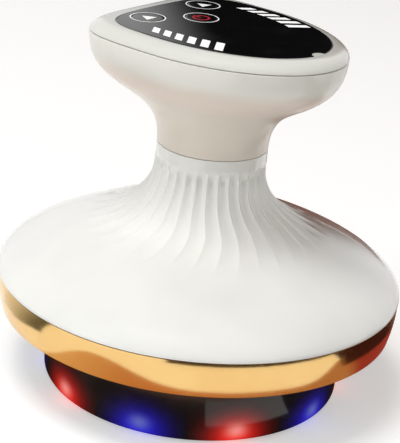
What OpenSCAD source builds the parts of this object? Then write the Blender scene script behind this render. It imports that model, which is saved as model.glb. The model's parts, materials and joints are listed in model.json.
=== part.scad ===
// Electric gua sha massager: a round suction base with a lit skirt, a polished trim ring,
// a pleated dome, a waisted neck and an egg-shaped head with a black control panel.
// Z is up and the origin is under the middle of the suction lip, on the surface it stands on.
// The head's narrow end points along -Y.

/* [Base] */
// Outer radius of the trim ring, the widest part
ring_r = 45; // [44:0.5:48]
// Height of the lit skirt under the trim ring
skirt_h = 16.9; // [16.5:0.1:18]
// Distance of the lit skirt's face inside the trim ring's
skirt_inset = 11.5; // [10.5:0.25:12]
// Wall of the lit skirt
skirt_wall = 2.3; // [2:0.1:2.6]
// Rounding of the skirt's lower edge
skirt_round = 1.8; // [1:0.1:2]
// Height of the trim ring
ring_h = 8.1; // [7.8:0.1:9]
// How far the trim ring's lower edge draws in
ring_taper = 1; // [0.4:0.1:1.5]
// Wall of the trim ring
ring_wall = 1.5; // [1.2:0.1:1.8]
// Open shadow line between trim ring and dome
shadow_gap = 0.3; // [0.2:0.05:0.5]

/* [Dome] */
// Height from the trim ring's top to the neck seam
dome_h = 31.1; // [30:0.1:33]
// Radius of the neck at its seam
neck_r = 12.2; // [12:0.1:12.8]
// Radius of the dome's shoulder, where its slope is steady
shoulder_r = 26; // [24:0.5:28]
// Height of that shoulder over the trim ring
shoulder_h = 11.9; // [11:0.1:13]
// Slope of the shoulder in degrees
shoulder_slope = 23; // [20:1:26]
// Wall of the dome
dome_wall = 1.8; // [1.5:0.1:2]
// Number of pleats around the neck
pleats = 33; // [24:1:36]
// Depth of a pleat
pleat_d = 0.6; // [0.3:0.05:0.8]
// Radius at which the pleats fade out
pleat_end_r = 27; // [24:0.5:30]
// Twist of the pleats at their outer ends in degrees
pleat_twist = 6.5; // [0:0.5:10]

/* [Head] */
// Height from the neck seam to the head's seam
head_h = 23.6; // [23:0.1:26]
// Length of the panel's narrow half, from its widest line to its tip
panel_front = 27.3; // [26:0.1:30]
// Length of the panel's blunt half
panel_rear = 16.6; // [16:0.1:19]
// Half the width of the panel
panel_side = 19.3; // [19:0.1:21]
// Distance of the panel's widest line behind the neck's axis
panel_shift = 2.3; // [1:0.1:3]
// Height of the bezel from the head's seam to the panel's edge
bezel_h = 2.6; // [2.3:0.1:3.2]
// Width of the bezel beside the panel
bezel_w = 3.8; // [3.4:0.1:4.4]
// Extra width of the bezel behind the panel
bezel_rear = 1.6; // [0.5:0.1:2.5]
// Wall of the handle
handle_wall = 2; // [1.6:0.1:2.2]
// Rise of the panel's crown
crown_h = 0.4; // [0.2:0.1:0.6]
// Thickness of the panel at its edge
panel_t = 1.5; // [1.2:0.1:1.8]

/* [Keys and lights] */
// Radius of a key cap
key_r = 3.4; // [3:0.1:3.6]
// Travel of a key
key_travel = 0.4; // [0.2:0.1:0.5]
// Distance of the two side keys from the middle line
key_side = 9.4; // [9:0.1:10]
// Distance of the two side keys behind the neck's axis
key_back = 13.3; // [12.6:0.1:13.6]
// Distance of the power key behind the neck's axis
power_back = 6.3; // [5.5:0.1:7]
// Number of light bars in a row
bars = 6; // [4:1:6]
// Spacing of the light bars
bar_pitch = 3.05; // [2.8:0.05:3.2]
// Width of a light bar
bar_w = 1.9; // [1.5:0.1:2]
// Length of the rearmost light bar
bar_len = 3.6; // [3:0.1:4]
// Gain in length from one light bar to the next
bar_grow = 0.32; // [0:0.02:0.4]
// Lean of the light bars in degrees
bar_lean = 32; // [0:1:35]
// Radius of the status light in the panel's tip
status_r = 1.8; // [1.2:0.1:2.2]

/* [Suction cup] */
// Distance of the heated plate's edge inside the lit skirt's face
plate_inset = 8.2; // [7.9:0.1:9.5]
// Thickness of the heated plate
plate_t = 1.5; // [1.2:0.1:1.8]
// Height of the plate's face over the surface it works on
plate_z = 8.5; // [8:0.1:8.8]
// Number of massage beads on the plate
beads = 8; // [6:1:12]
// Distance of the circle of massage beads inside the plate's edge
bead_inset = 9.3; // [7.5:0.1:11]
// Radius of a massage bead
bead_r = 2.2; // [1.6:0.1:2.4]
// Height of the soft lip
lip_h = 1.5; // [1.2:0.1:1.6]
// Number of lamps behind the skirt
lamps = 10; // [8:2:12]

/* [Drive] */
// Distance of the pump's face inside the neck's
pump_inset = 4.2; // [4.2:0.1:4.8]
// Length of the pump's motor
motor_h = 17; // [14:0.5:18]
// Length of the pump's working end
pump_head_h = 13.4; // [13.2:0.1:14]
// Travel of the release valve's plunger
valve_travel = 0.8; // [0.4:0.1:1]
// Number of base screws
base_screws_n = 6; // [4:1:6]

/* [Hidden] */

$fn = 96;
eps = 0.01;
// Gap between pieces that are bonded or lie face to face
seat = 0.05;
// Gap beside a piece that is dropped into a pocket
loose = 0.1;
// Gap round a piece that moves
run = 0.08;

// Levels
ring_z0 = skirt_h;
ring_z1 = ring_z0 + ring_h;
neck_z = ring_z1 + dome_h;
head_z = neck_z + head_h;
panel_z = head_z + bezel_h;
panel_z0 = panel_z - panel_t;
skirt_r = ring_r - skirt_inset;
skirt_in_r = skirt_r - skirt_wall;
plate_r = skirt_r - plate_inset;
bead_ring_r = plate_r - bead_inset;

// Colours
white = [0.95, 0.945, 0.93];
warm_white = [0.83, 0.79, 0.74];
gold = [0.87, 0.66, 0.36];
smoke = [0.16, 0.13, 0.12, 0.9];
gloss_black = [0.03, 0.03, 0.035];
milk = [0.97, 0.97, 0.97];
board_green = [0.05, 0.3, 0.17];
steel = [0.72, 0.73, 0.75];
rubber_grey = [0.3, 0.3, 0.31];
soft_black = [0.12, 0.12, 0.13];
copper = [0.75, 0.45, 0.25];
lead_red = [0.8, 0.1, 0.1];
lead_black = [0.1, 0.1, 0.1];

// Curves
function bez(p, t) = pow(1 - t, 3) * p[0] + 3 * pow(1 - t, 2) * t * p[1]
    + 3 * (1 - t) * t * t * p[2] + pow(t, 3) * p[3];
function bez_dir(p, t) = 3 * pow(1 - t, 2) * (p[1] - p[0]) + 6 * (1 - t) * t * (p[2] - p[1])
    + 3 * t * t * (p[3] - p[2]);
function lean(v) = [v[1], -v[0]] / norm(v);
function smooth(x) = let (c = min(1, max(0, x))) c * c * (3 - 2 * c);

// Faces of a closed tube of rings: the last ring joins the first
function ring_faces(rings, sides) = [for (k = [0:rings - 1]) for (j = [0:sides - 1])
    let (k2 = (k + 1) % rings, j2 = (j + 1) % sides,
        a = k * sides + j, b = k * sides + j2, c = k2 * sides + j2, d = k2 * sides + j)
    each [[a, d, c], [a, c, b]]];

// Dome profile as radius and height over the trim ring, in two curves that meet at the shoulder
edge_rise = 3.8;
slope_out = 9.8;
slope_in = 7.6;
collar_drop = 4.1;
collar_pull = 8;
slope_dir = [cos(shoulder_slope), -sin(shoulder_slope)];
shoulder = [shoulder_r, shoulder_h];
collar_top = [neck_r, dome_h - collar_drop];
rim_curve = [[ring_r, shadow_gap], [ring_r, edge_rise], shoulder + slope_out * slope_dir, shoulder];
collar_curve = [shoulder, shoulder - slope_in * slope_dir, collar_top - [0, collar_pull],
    collar_top];
function dome_out(curve, t) = bez(curve, t) + [0, ring_z1];
function dome_in(curve, t) = dome_out(curve, t) - dome_wall * lean(bez_dir(curve, t));

// Pleats: a saw wave round the neck that fades out at both ends and turns at its outer end
pleat_sides = pleats * 4;
pleat_top = 2.2;
pleat_ramp = 0.75;
function saw(f) = f < pleat_ramp ? f / pleat_ramp : (1 - f) / (1 - pleat_ramp);
function pleat_fade(p) = smooth((pleat_end_r + 1 - p[0]) / 5) * smooth((neck_z - pleat_top - p[1]) / 3);
function pleat_turn(r) = let (q = min(r, pleat_end_r)) 2.5 * smooth((q - neck_r) / 6)
    - pleat_twist * pow(max(0, q - neck_r - 6) / (pleat_end_r - neck_r - 6), 1.5);
function round_ring(p, fade = 0) = [for (j = [0:pleat_sides - 1])
    let (a = 360 * j / pleat_sides + pleat_turn(p[0]), f = j / 4 - floor(j / 4),
        r = p[0] - pleat_d * fade * (1 - saw(f))) [r * cos(a), r * sin(a), p[1]]];

// Dome joints: a foot on the trim ring's flange and a tongue inside the handle
flange_t = 1.3;
flange_top = ring_z1 - 0.6;
flange_in_r = ring_r - 4.4;
band_in_r = ring_r - ring_wall - 0.2;
foot_out_r = band_in_r - 0.15;
foot_in_r = foot_out_r - 1.55;
seam_gap = 0.15;
tongue_h = 2.9;
tongue_t = 1;
handle_bore = neck_r - 1.7;
tongue_out_r = handle_bore - loose;
tongue_in_r = tongue_out_r - tongue_t;
post_r = 2.8;
post_ring_r = ring_r - 7.5;
post_top = ring_z1 + 4.4;
screw_r = 1.1;
base_head_r = 2.2;
base_head_t = 0.65;
base_head_z = ring_z0 + 0.2;

// Egg outlines: an ellipse in front of the widest line, a squarer curve behind it
egg_sides = 72;
rear_power = 4;
function egg_point(a, o) = let (n = sin(a) < 0 ? 2 : rear_power,
    l = sin(a) < 0 ? panel_front + o : panel_rear + o + max(0, o) * bezel_rear / bezel_w,
    k = pow(pow(abs(sin(a)), n) + pow(abs(cos(a)), n), -1 / n))
    [(panel_side + o) * cos(a) * k, l * sin(a) * k + panel_shift];
function egg(o) = [for (j = [0:egg_sides - 1]) egg_point(360 * j / egg_sides, o)];
function egg_ring(o, z) = [for (p = egg(o)) [p[0], p[1], z]];
function half_width(f) = let (u = f + panel_shift)
    u > 0 ? panel_side * sqrt(1 - pow(u / panel_front, 2))
        : panel_side * pow(1 - pow(-u / panel_rear, rear_power), 1 / rear_power);

// Handle: each ring is a blend of the neck's circle and the head's egg
neck_pull = 14.2;
head_pull = 13.4;
handle_rings = 14;
function handle_z(t) = bez([neck_z + seam_gap, neck_z + neck_pull, head_z - head_pull, head_z], t);
function handle_ring(t, r, o) = let (u = t * t * (3 - 2 * t)) [for (j = [0:egg_sides - 1])
    let (a = 360 * j / egg_sides, e = egg_point(a, o))
    [(1 - u) * r * cos(a) + u * e[0], (1 - u) * r * sin(a) + u * e[1], handle_z(t)]];

// Head stack, from the panel down
edge_gap = 0.1;
ledge_top = panel_z0 - seat;
ledge_t = 1;
ledge_in = -1.3;
mask_flange_t = 1.5;
mask_flange_z1 = ledge_top - ledge_t - seat;
mask_z0 = mask_flange_z1 - mask_flange_t;
display_t = 1.2;
display_z1 = mask_z0 - seat;
display_z0 = display_z1 - display_t;
frame_t = 1.2;
head_frame_z1 = display_z0 - seat;
head_frame_z0 = head_frame_z1 - frame_t;
key_flange = 0.45;
key_flange_t = 0.8;
key_flange_z1 = panel_z0 - 0.1;
key_post_r = 1.3;
key_dome_h = 0.3;
key_spots = [[0, power_back], [-key_side, key_back], [key_side, key_back]];
board_screw_r = 0.75;
board_screw_in = 3.3;
board_screw_spots = [for (f = [-12.4, 15.5]) for (side = [-1, 1])
    [side * (half_width(f) - board_screw_in), -f]];
board_screw_head = 1;
// Distance of the rearmost light bar in front of the neck's axis, and of a row from the panel's edge
bar_first = -5.8;
bar_edge = 3.8;
tip_y = panel_shift - panel_front;
status_lamp_y = tip_y + 3;
// Offsets of the pieces inside the head from the panel's outline
tongue_out = bezel_w - handle_wall - 0.15;
tongue_in = tongue_out - 1;
mask_out = tongue_in - 0.25;
display_out = tongue_in - 0.4;
head_frame_out = tongue_in - 0.9;
head_frame_in = head_frame_out - 2.9;
socket_z0 = display_z0 - 0.3;
cut = 1;

// Levels inside the base
base_frame_t = 2;
rim_out_r = band_in_r - 0.15;
rim_in_r = rim_out_r - 1.6;
skirt_flange_t = 1.05;
skirt_flange_z1 = ring_z0 + base_frame_t + 0.05;
skirt_flange_r = skirt_r + 1.4;
bowl_flange_z0 = skirt_flange_z1 + loose;
bowl_flange_t = 1.2;
bowl_flange_z1 = bowl_flange_z0 + bowl_flange_t;
bowl_wall_r = plate_r + 1.9;
well_r = plate_r + 0.4;
plate_bore = plate_r + 0.15;
film_t = 0.4;
film_out_r = plate_r - 1.5;
film_in_r = 6.5;
bowl_floor_z0 = plate_z + plate_t + film_t;
bowl_floor_t = 1.6;
bowl_floor_z1 = bowl_floor_z0 + bowl_floor_t;
foot_w = 1.75;
lamp_board_z1 = bowl_floor_z0 + 0.9;
lamp_board_t = 0.8;
lamp_h = 1.5;
lamp_w = 1.6;
lamp_len = 2.6;
lamp_turn = 20;
nozzle_r = 4;
bead_stem_r = 1.2;
groove = 0.5;
barb_r = 1.5;
thermistor_r = 1.2;
thermistor_h = 1;
thermistor_y = bead_ring_r - 2;
hub_z1 = bowl_floor_z1 + 7.4;
side_barb_z = bowl_floor_z1 + 5.4;
barb_h = 2.6;
hub_r = 2.8;
air_r = 0.8;
nozzle_z0 = plate_z - 1.6;
thread_z1 = bowl_floor_z1 + 2.6;
filter_r = 3.1;
filter_z1 = nozzle_z0 + 1.3;
tube_r = 2.7;

// Levels of the pump
pump_r = neck_r - pump_inset;
pump_z0 = bowl_flange_z1 + 4.3;
cap_t = 2.6;
valve_plate_t = 1;
diaphragm_t = 1;
chamber_r = 3.3;
outlet_x = 5;
case_z0 = pump_z0 + cap_t + valve_plate_t + diaphragm_t + 3 * seat;
case_z1 = pump_z0 + pump_head_h;
motor_r = pump_r - 0.3;
motor_z0 = case_z1 + seat;
motor_z1 = motor_z0 + motor_h;
shaft_r = 0.75;
shaft_z0 = motor_z0 - 3.6;
// Tilt and height of the plate that the eccentric wobbles
wobble = 6;
wobble_z = case_z0 + 2.4;
wobble_pin_r = 0.6;
cradle_t = 1.3;
// Directions in which the flat cable and the motor's leads run down, and their slots' width
lead_turns = [-45, 225];
lead_slot = 6.2;
cradle_z1 = pump_z0 - seat;
cradle_z0 = cradle_z1 - cradle_t;
power_z1 = bowl_flange_z1 + 2.9;
power_t = 1.2;
board_out_r = post_ring_r - post_r - 0.7;
board_edge_y = -4;
board_post_turns = [-90, -38, -142];
neck_disc_z0 = neck_z + tongue_h + seat;
neck_disc_t = 1.2;
port_board_z1 = neck_disc_z0 + neck_disc_t + seat + 0.8;
port_mid_z = port_board_z1 + seat + 1.6;
wire_r = 0.45;
lead_foot_r = pump_r + 5.5;
lead_r = tongue_in_r - 0.8;
grommet_h = 4;
grommet_z = neck_z - grommet_h - 4.2;

// Charging port: a metal shell with a tongue, on a small board at the back of the handle
port_w = 8.95;
port_h = 3.2;
port_depth = 7.3;
port_wall = 0.3;
port_play = 0.25;
port_front = neck_r;
port_board_t = 0.8;
port_board_w = 10;

// Battery: it fills the well between the suction line and the well's wall
battery_len = 25;
battery_h = 7.4;
battery_in_x = 7.2;
battery_out_x = sqrt(pow(well_r - 0.8, 2) - pow(battery_len / 2, 2));
battery_size = [battery_out_x - battery_in_x, battery_len, battery_h];
battery_x = -(battery_in_x + battery_out_x) / 2;
pad_t = 0.4;

// Release valve
valve_x = well_r - 8.7;
valve_len = 12;
valve_barb = 3;
side_barb_h = valve_x - valve_len / 2 - valve_barb - 0.8;
valve_w = 10;
valve_bore = 1.75;
valve_seat_z = bowl_floor_z1 + 1.7;
plunger_h = 4.6;
spring_h = 1.7 + valve_travel;
bore_z1 = valve_seat_z + plunger_h + spring_h;

module ring(r_out, r_in, z0, z1) {
    translate([0, 0, z0]) difference() {
        cylinder(r = r_out, h = z1 - z0);
        translate([0, 0, -1]) cylinder(r = r_in, h = z1 - z0 + 2);
    }
}

module disc(r, z0, z1) {
    translate([0, 0, z0]) cylinder(r = r, h = z1 - z0);
}

module egg_plate(o, z0, z1) {
    translate([0, 0, z0]) linear_extrude(z1 - z0) polygon(egg(o));
}

// Its children once for each base screw
module round_base() {
    for (i = [0:base_screws_n - 1]) rotate(i * 360 / base_screws_n) translate([post_ring_r, 0, 0])
        children();
}

// Everything under the panel's crown
module crown(drop = 0) {
    reach = 32;
    arc_r = 22;
    rotate_extrude() polygon(concat([[0, panel_z0 - 6], [reach, panel_z0 - 6]],
        [for (i = [8:-1:0]) let (r = reach * i / 8)
            [r, panel_z + crown_h * (1 - pow(r / arc_r, 2)) - drop]]));
}

module screw(length, shank_r, head_r, head_h) {
    // The head's face is at z = 0 and the shank runs up
    difference() {
        union() {
            cylinder(r = head_r, h = head_h);
            cylinder(r = shank_r, h = length);
        }
        for (a = [0, 90]) rotate(a) translate([-head_r * 0.6, -0.2, -1])
            cube([head_r * 1.2, 0.4, 1 + head_h * 0.5]);
    }
}

module bar_shape(side, i, grow) {
    f = bar_first + bar_pitch * i;
    x = half_width(f) - bar_edge;
    len = bar_len + bar_grow * i + 2 * grow;
    tangent = [half_width(f + 0.5) - half_width(f - 0.5), -1] / norm([half_width(f + 0.5)
        - half_width(f - 0.5), -1]);
    along = [cos(bar_lean), -sin(bar_lean)] * len / 2;
    across = tangent * (bar_w / 2 + grow);
    c = [x, -f];
    mirror([side < 0 ? 1 : 0, 0, 0])
        polygon([c - along - across, c + along - across, c + along + across, c - along + across]);
}

module bar_row(side) {
    intersection() {
        union() for (i = [0:bars - 1])
            translate([0, 0, panel_z0 + seat]) linear_extrude(5) bar_shape(side, i, -seat);
        crown(0.02);
    }
}

module touch_panel() {
    color(gloss_black) difference() {
        intersection() {
            egg_plate(0, panel_z0, panel_z + 3);
            crown();
        }
        for (p = key_spots) translate([p[0], p[1], panel_z0 - 1]) cylinder(r = key_r + run, h = 6);
        for (side = [-1, 1]) for (i = [0:bars - 1])
            translate([0, 0, panel_z0 - 1]) linear_extrude(6) bar_shape(side, i, 0);
        translate([0, tip_y, panel_z0 - 1]) cylinder(r = status_r, h = 6);
    }
}

module key(p) {
    color(gloss_black) {
        intersection() {
            translate([p[0], p[1], key_flange_z1 - eps]) cylinder(r = key_r, h = 6);
            crown(0.02);
        }
        translate([p[0], p[1], key_flange_z1 - key_flange_t])
            cylinder(r = key_r + key_flange, h = key_flange_t);
        translate([p[0], p[1], display_z1 + key_dome_h + key_travel + seat])
            cylinder(r = key_post_r, h = 2);
    }
}

module power_key() {
    key(key_spots[0]);
}

module suction_key() {
    key(key_spots[1]);
}

module heat_key() {
    key(key_spots[2]);
}

module left_light_bars() {
    color(milk) bar_row(-1);
}

module right_light_bars() {
    color(milk) bar_row(1);
}

module status_light() {
    color(milk) intersection() {
        translate([0, tip_y, panel_z0 + seat]) cylinder(r = status_r - seat, h = 6);
        egg_plate(0, panel_z0, panel_z + 3);
        crown(0.02);
    }
}

module light_mask() {
    color(white) difference() {
        union() {
            egg_plate(ledge_in - 0.15, mask_z0, panel_z0 - seat);
            egg_plate(mask_out, mask_z0, mask_flange_z1);
        }
        for (p = key_spots) translate([p[0], p[1], mask_z0 - 1])
            cylinder(r = key_r + key_flange + 0.15, h = 6);
        for (side = [-1, 1]) for (i = [0:bars - 1])
            translate([0, 0, mask_z0 - 1]) linear_extrude(6) bar_shape(side, i, -0.3);
        translate([0, status_lamp_y, mask_z0 - cut]) cylinder(r = 1, h = 6);
        for (p = board_screw_spots) translate([p[0], p[1], mask_z0 - 1])
            cylinder(r = board_screw_r + seat, h = 2.9);
    }
}

module key_domes() {
    color(steel) for (p = key_spots) translate([p[0], p[1], display_z1 + 0.02])
        rotate_extrude() polygon([[0, 0.14], [1.8, 0.1], [2.4, 0], [2.5, 0], [2.5, 0.12], [1.8, 0.24],
            [0, key_dome_h - 0.02]]);
}

module display_board() {
    color(board_green) difference() {
        egg_plate(display_out, display_z0, display_z1);
        for (p = board_screw_spots) translate([p[0], p[1], display_z0 - 1])
            cylinder(r = board_screw_r + loose, h = 4);
    }
}

module display_lamp(x, y) {
    translate([x - 0.5, y - 0.4, display_z1]) cube([1, 0.8, 0.5]);
}

module display_lamps() {
    color(milk) {
        for (side = [-1, 1]) for (i = [0:bars - 1]) let (f = bar_first + bar_pitch * i)
            display_lamp(side * (half_width(f) - bar_edge), -f);
        display_lamp(0, status_lamp_y);
    }
}

module board_screws() {
    z0 = head_frame_z0 - board_screw_head;
    color(steel) for (p = board_screw_spots) translate([p[0], p[1], z0])
        screw(mask_z0 + 1.7 - z0, board_screw_r, 2 * board_screw_r, board_screw_head);
}

module head_frame() {
    color(soft_black) difference() {
        union() {
            difference() {
                egg_plate(head_frame_out, head_frame_z0, head_frame_z1);
                egg_plate(head_frame_in, head_frame_z0 - cut, head_frame_z1 + cut);
            }
            for (p = board_screw_spots) translate([p[0], p[1], head_frame_z0])
                cylinder(r = 2.6, h = frame_t);
        }
        for (p = board_screw_spots) translate([p[0], p[1], head_frame_z0 - 1])
            cylinder(r = board_screw_r + loose, h = 4);
    }
}

module top_bezel() {
    steps = 6;
    skirt_z = head_z + seam_gap;
    section = concat(
        [for (i = [0:steps]) [edge_gap + (bezel_w - edge_gap) * cos(90 * i / steps),
            skirt_z + (panel_z - seat - skirt_z) * sin(90 * i / steps)]],
        [[edge_gap, ledge_top], [ledge_in, ledge_top], [ledge_in, ledge_top - ledge_t],
            [tongue_in, ledge_top - ledge_t], [tongue_in, display_z0], [tongue_out, display_z0],
            [tongue_out, skirt_z]]);
    color(white) polyhedron([for (s = section) each egg_ring(s[0], s[1])],
        ring_faces(len(section), egg_sides));
}

module port_slot(w, h, y0, y1) {
    for (x = [-1, 1]) translate([x * (w - h) / 2, y1, port_mid_z]) rotate([90, 0, 0])
        cylinder(d = h, h = y1 - y0);
    translate([-(w - h) / 2, y0, port_mid_z - h / 2]) cube([w - h, y1 - y0, h]);
}

module handle_shell() {
    outer = [for (i = [0:handle_rings]) handle_ring(i / handle_rings, neck_r, bezel_w)];
    socket = [for (z = [head_z, socket_z0]) egg_ring(bezel_w - handle_wall, z)];
    inner = [for (i = [handle_rings - 2:-2:0]) handle_ring(i / handle_rings, handle_bore,
        bezel_w - handle_wall)];
    rings = concat(outer, socket, inner);
    color(warm_white) difference() {
        polyhedron([for (r = rings) each r], ring_faces(len(rings), egg_sides));
        port_slot(port_w + 2 * port_play, port_h + 2 * port_play, handle_bore - 1, neck_r + 4);
    }
}

module neck_disc() {
    color(soft_black) difference() {
        disc(handle_bore - loose, neck_disc_z0, neck_disc_z0 + neck_disc_t);
        for (a = lead_turns) rotate(a) translate([lead_r - 1, -lead_slot / 2, neck_disc_z0 - cut])
            cube([4, lead_slot, 4]);
    }
}

module port_board() {
    y0 = -2;
    color(board_green) translate([-port_board_w / 2, y0, port_board_z1 - port_board_t])
        cube([port_board_w, handle_bore - 1.6 - y0, port_board_t]);
}

module charging_port() {
    tongue = [6.6, port_depth - 1.7, 0.7];
    back = port_front - port_depth + 1;
    color(steel) difference() {
        port_slot(port_w, port_h, port_front - port_depth, port_front);
        difference() {
            port_slot(port_w - 2 * port_wall, port_h - 2 * port_wall, back, port_front + cut);
            translate([-tongue[0] / 2, back - eps, port_mid_z - tongue[2] / 2]) cube(tongue);
        }
    }
}

module dome_shell() {
    rim_steps = 6;
    collar_steps = 11;
    out_rim = [for (i = [0:rim_steps - 1]) dome_out(rim_curve, i / rim_steps)];
    out_collar = [for (i = [0:collar_steps]) dome_out(collar_curve, i / collar_steps)];
    neck = [[neck_r, neck_z - pleat_top], [neck_r, neck_z], [tongue_out_r, neck_z],
        [tongue_out_r, neck_z + tongue_h], [tongue_in_r, neck_z + tongue_h],
        [tongue_in_r, neck_z - tongue_h]];
    in_collar = [for (i = [4:-1:1]) dome_in(collar_curve, i / 4)];
    in_rim = [for (i = [4:-1:2]) dome_in(rim_curve, i / 4)];
    foot = [[foot_in_r, flange_top + 2.4], [foot_in_r, flange_top + seat],
        [foot_out_r, flange_top + seat], [foot_out_r, ring_z1 + shadow_gap]];
    section = concat(out_rim, out_collar, neck, in_collar, in_rim, foot);
    pleated = len(out_rim) + len(out_collar);
    rings = [for (i = [0:len(section) - 1])
        round_ring(section[i], i < pleated ? pleat_fade(section[i]) : 0)];
    color(white) difference() {
        union() {
            polyhedron([for (r = rings) each r], ring_faces(len(rings), pleat_sides));
            round_base() disc(post_r, bowl_flange_z1 + seat, post_top);
        }
        round_base() disc(screw_r + seat, 0, post_top - 0.8);
    }
}

module trim_ring() {
    steps = 8;
    edge = 0.4;
    function band_r(u) = ring_r - 0.05 - ring_taper * pow(1 - u, 2) - 0.15 * pow(u, 6);
    color(gold) rotate_extrude() polygon(concat(
        [[band_in_r, ring_z0], [band_r(0) - edge, ring_z0]],
        [for (i = [0:steps]) let (u = i / steps)
            [band_r(u), ring_z0 + edge / 2 + (ring_h - edge / 2) * u]],
        [[band_in_r, ring_z1], [band_in_r, flange_top], [flange_in_r, flange_top],
            [flange_in_r, flange_top - flange_t], [band_in_r, flange_top - flange_t]]));
}

module base_frame() {
    bottom = ring_z0 + 0.1;
    top = bottom + base_frame_t;
    rim_top = flange_top - flange_t - seat;
    hole_r = skirt_r + 0.25;
    step_r = skirt_flange_r + 0.3;
    step_z = skirt_flange_z1 - skirt_flange_t - seat;
    color(white) difference() {
        rotate_extrude() polygon([[hole_r, bottom], [rim_out_r, bottom], [rim_out_r, rim_top],
            [rim_in_r, rim_top], [rim_in_r, top], [step_r, top], [step_r, step_z],
            [hole_r, step_z]]);
        round_base() {
            disc(screw_r + 0.2, 0, top + cut);
            disc(base_head_r + 0.3, ring_z0 - cut, base_head_z + base_head_t);
        }
    }
}

module base_screws() {
    color(steel) round_base() translate([0, 0, base_head_z])
        screw(post_top - 1.2 - base_head_z, screw_r, base_head_r, base_head_t);
}

module light_skirt() {
    z0 = 0.3;
    steps = 6;
    in_edge = skirt_r - skirt_round;
    color(smoke) rotate_extrude() polygon(concat(
        [[skirt_in_r, z0], [in_edge, z0]],
        [for (i = [1:steps]) let (a = 90 * i / steps)
            [in_edge + skirt_round * sin(a), z0 + skirt_round * (1 - cos(a))]],
        [[skirt_r, skirt_flange_z1 - skirt_flange_t], [skirt_flange_r, skirt_flange_z1 - skirt_flange_t],
            [skirt_flange_r, skirt_flange_z1], [skirt_in_r, skirt_flange_z1]]));
}

// Cone of the cup, bonded under the bowl
module cup_ring() {
    foot_out = skirt_in_r - 0.15;
    foot_z = lip_h + seat;
    color(soft_black) rotate_extrude() polygon([[foot_out - foot_w, foot_z], [foot_out, foot_z],
        [foot_out, foot_z + 1.1], [bowl_wall_r, plate_z - seat], [plate_bore, plate_z - seat]]);
}

module suction_bowl() {
    ledge_r = bowl_wall_r + 1.2;
    ledge_z = lamp_board_z1 + seat;
    color(soft_black) difference() {
        rotate_extrude() polygon([[plate_bore, plate_z], [bowl_wall_r, plate_z], [bowl_wall_r, ledge_z],
            [ledge_r, ledge_z], [ledge_r, ledge_z + 0.9],
            [bowl_wall_r, ledge_z + 0.9], [bowl_wall_r, bowl_flange_z0],
            [rim_in_r - 0.35, bowl_flange_z0], [rim_in_r - 0.35, bowl_flange_z1],
            [well_r, bowl_flange_z1], [well_r, bowl_floor_z1], [nozzle_r + loose, bowl_floor_z1],
            [nozzle_r + loose, bowl_floor_z0], [plate_bore, bowl_floor_z0]]);
        round_base() disc(screw_r + 0.2, 0, bowl_flange_z1 + cut);
        translate([0, thermistor_y, 0]) disc(thermistor_r + 0.2, 0, bowl_floor_z0 + thermistor_h + loose);
    }
}

module soft_lip() {
    out_r = skirt_in_r - 0.15;
    in_r = out_r - foot_w;
    color(rubber_grey) rotate_extrude() polygon([[in_r + 0.3, 0], [out_r - 0.5, 0], [out_r, 0.5],
        [out_r, lip_h], [in_r, lip_h], [in_r, 0.3]]);
}

module heat_plate() {
    color(steel) difference() {
        disc(plate_r, plate_z, plate_z + plate_t);
        disc(nozzle_r + loose, 0, plate_z + plate_t + cut);
        for (r = [nozzle_r + 5, plate_r - 2.8])
            ring(r + groove / 2, r - groove / 2, plate_z - cut, plate_z + groove / 2);
        round_plate() disc(bead_stem_r + seat, 0, plate_z + plate_t + cut);
    }
}

module round_plate() {
    for (i = [0:beads - 1]) rotate(i * 360 / beads) translate([bead_ring_r, 0, 0]) children();
}

module massage_beads() {
    color(steel) round_plate() {
        intersection() {
            translate([0, 0, plate_z - seat]) sphere(r = bead_r);
            disc(bead_r + cut, 0, plate_z - seat);
        }
        disc(bead_stem_r, plate_z - bead_r / 2, plate_z + plate_t);
    }
}

module heater_film() {
    color(copper) difference() {
        ring(film_out_r, film_in_r, plate_z + plate_t + seat, bowl_floor_z0 - seat);
        for (a = [0:30:330]) rotate(a) translate([film_in_r + 3.5, -0.4, 0])
            cube([film_out_r - film_in_r - 6, 0.8, bowl_floor_z0]);
    }
}

module thermistor() {
    color(soft_black) translate([0, thermistor_y, 0])
        disc(thermistor_r, bowl_floor_z0, bowl_floor_z0 + thermistor_h);
}

module suction_nozzle() {
    color(white) difference() {
        union() {
            disc(nozzle_r + 2.2, nozzle_z0, nozzle_z0 + 1.1);
            disc(nozzle_r, nozzle_z0 + 1, thread_z1);
            disc(hub_r, thread_z1 - eps, hub_z1);
            disc(barb_r, hub_z1 - eps, hub_z1 + barb_h);
            translate([0, 0, side_barb_z]) rotate([0, 90, 0]) cylinder(r = barb_r, h = side_barb_h);
        }
        disc(air_r, 0, hub_z1 + barb_h + cut);
        disc(filter_r + loose, 0, filter_z1 + loose);
        translate([0, 0, side_barb_z]) rotate([0, 90, 0]) cylinder(r = air_r, h = side_barb_h + cut);
    }
}

module nozzle_nut() {
    color(steel) difference() {
        translate([0, 0, bowl_floor_z1 + seat])
            cylinder(r = nozzle_r + 1.6, h = thread_z1 - bowl_floor_z1 - 0.3, $fn = 6);
        disc(nozzle_r + loose, 0, thread_z1 + cut);
    }
}

module nozzle_gasket() {
    color(rubber_grey) ring(nozzle_r + 2, nozzle_r + loose, nozzle_z0 + 1.1 + seat, plate_z - seat);
}

module filter_disc() {
    color(steel) difference() {
        disc(filter_r, filter_z1 - 0.8, filter_z1);
        for (a = [0:60:300]) rotate(a) translate([1.8, 0, 0]) disc(0.5, 0, filter_z1 + cut);
        disc(0.5, 0, filter_z1 + cut);
    }
}

module lamp_board() {
    color(white) ring(skirt_in_r - 0.4, bowl_wall_r + loose, lamp_board_z1 - lamp_board_t, lamp_board_z1);
}

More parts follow.
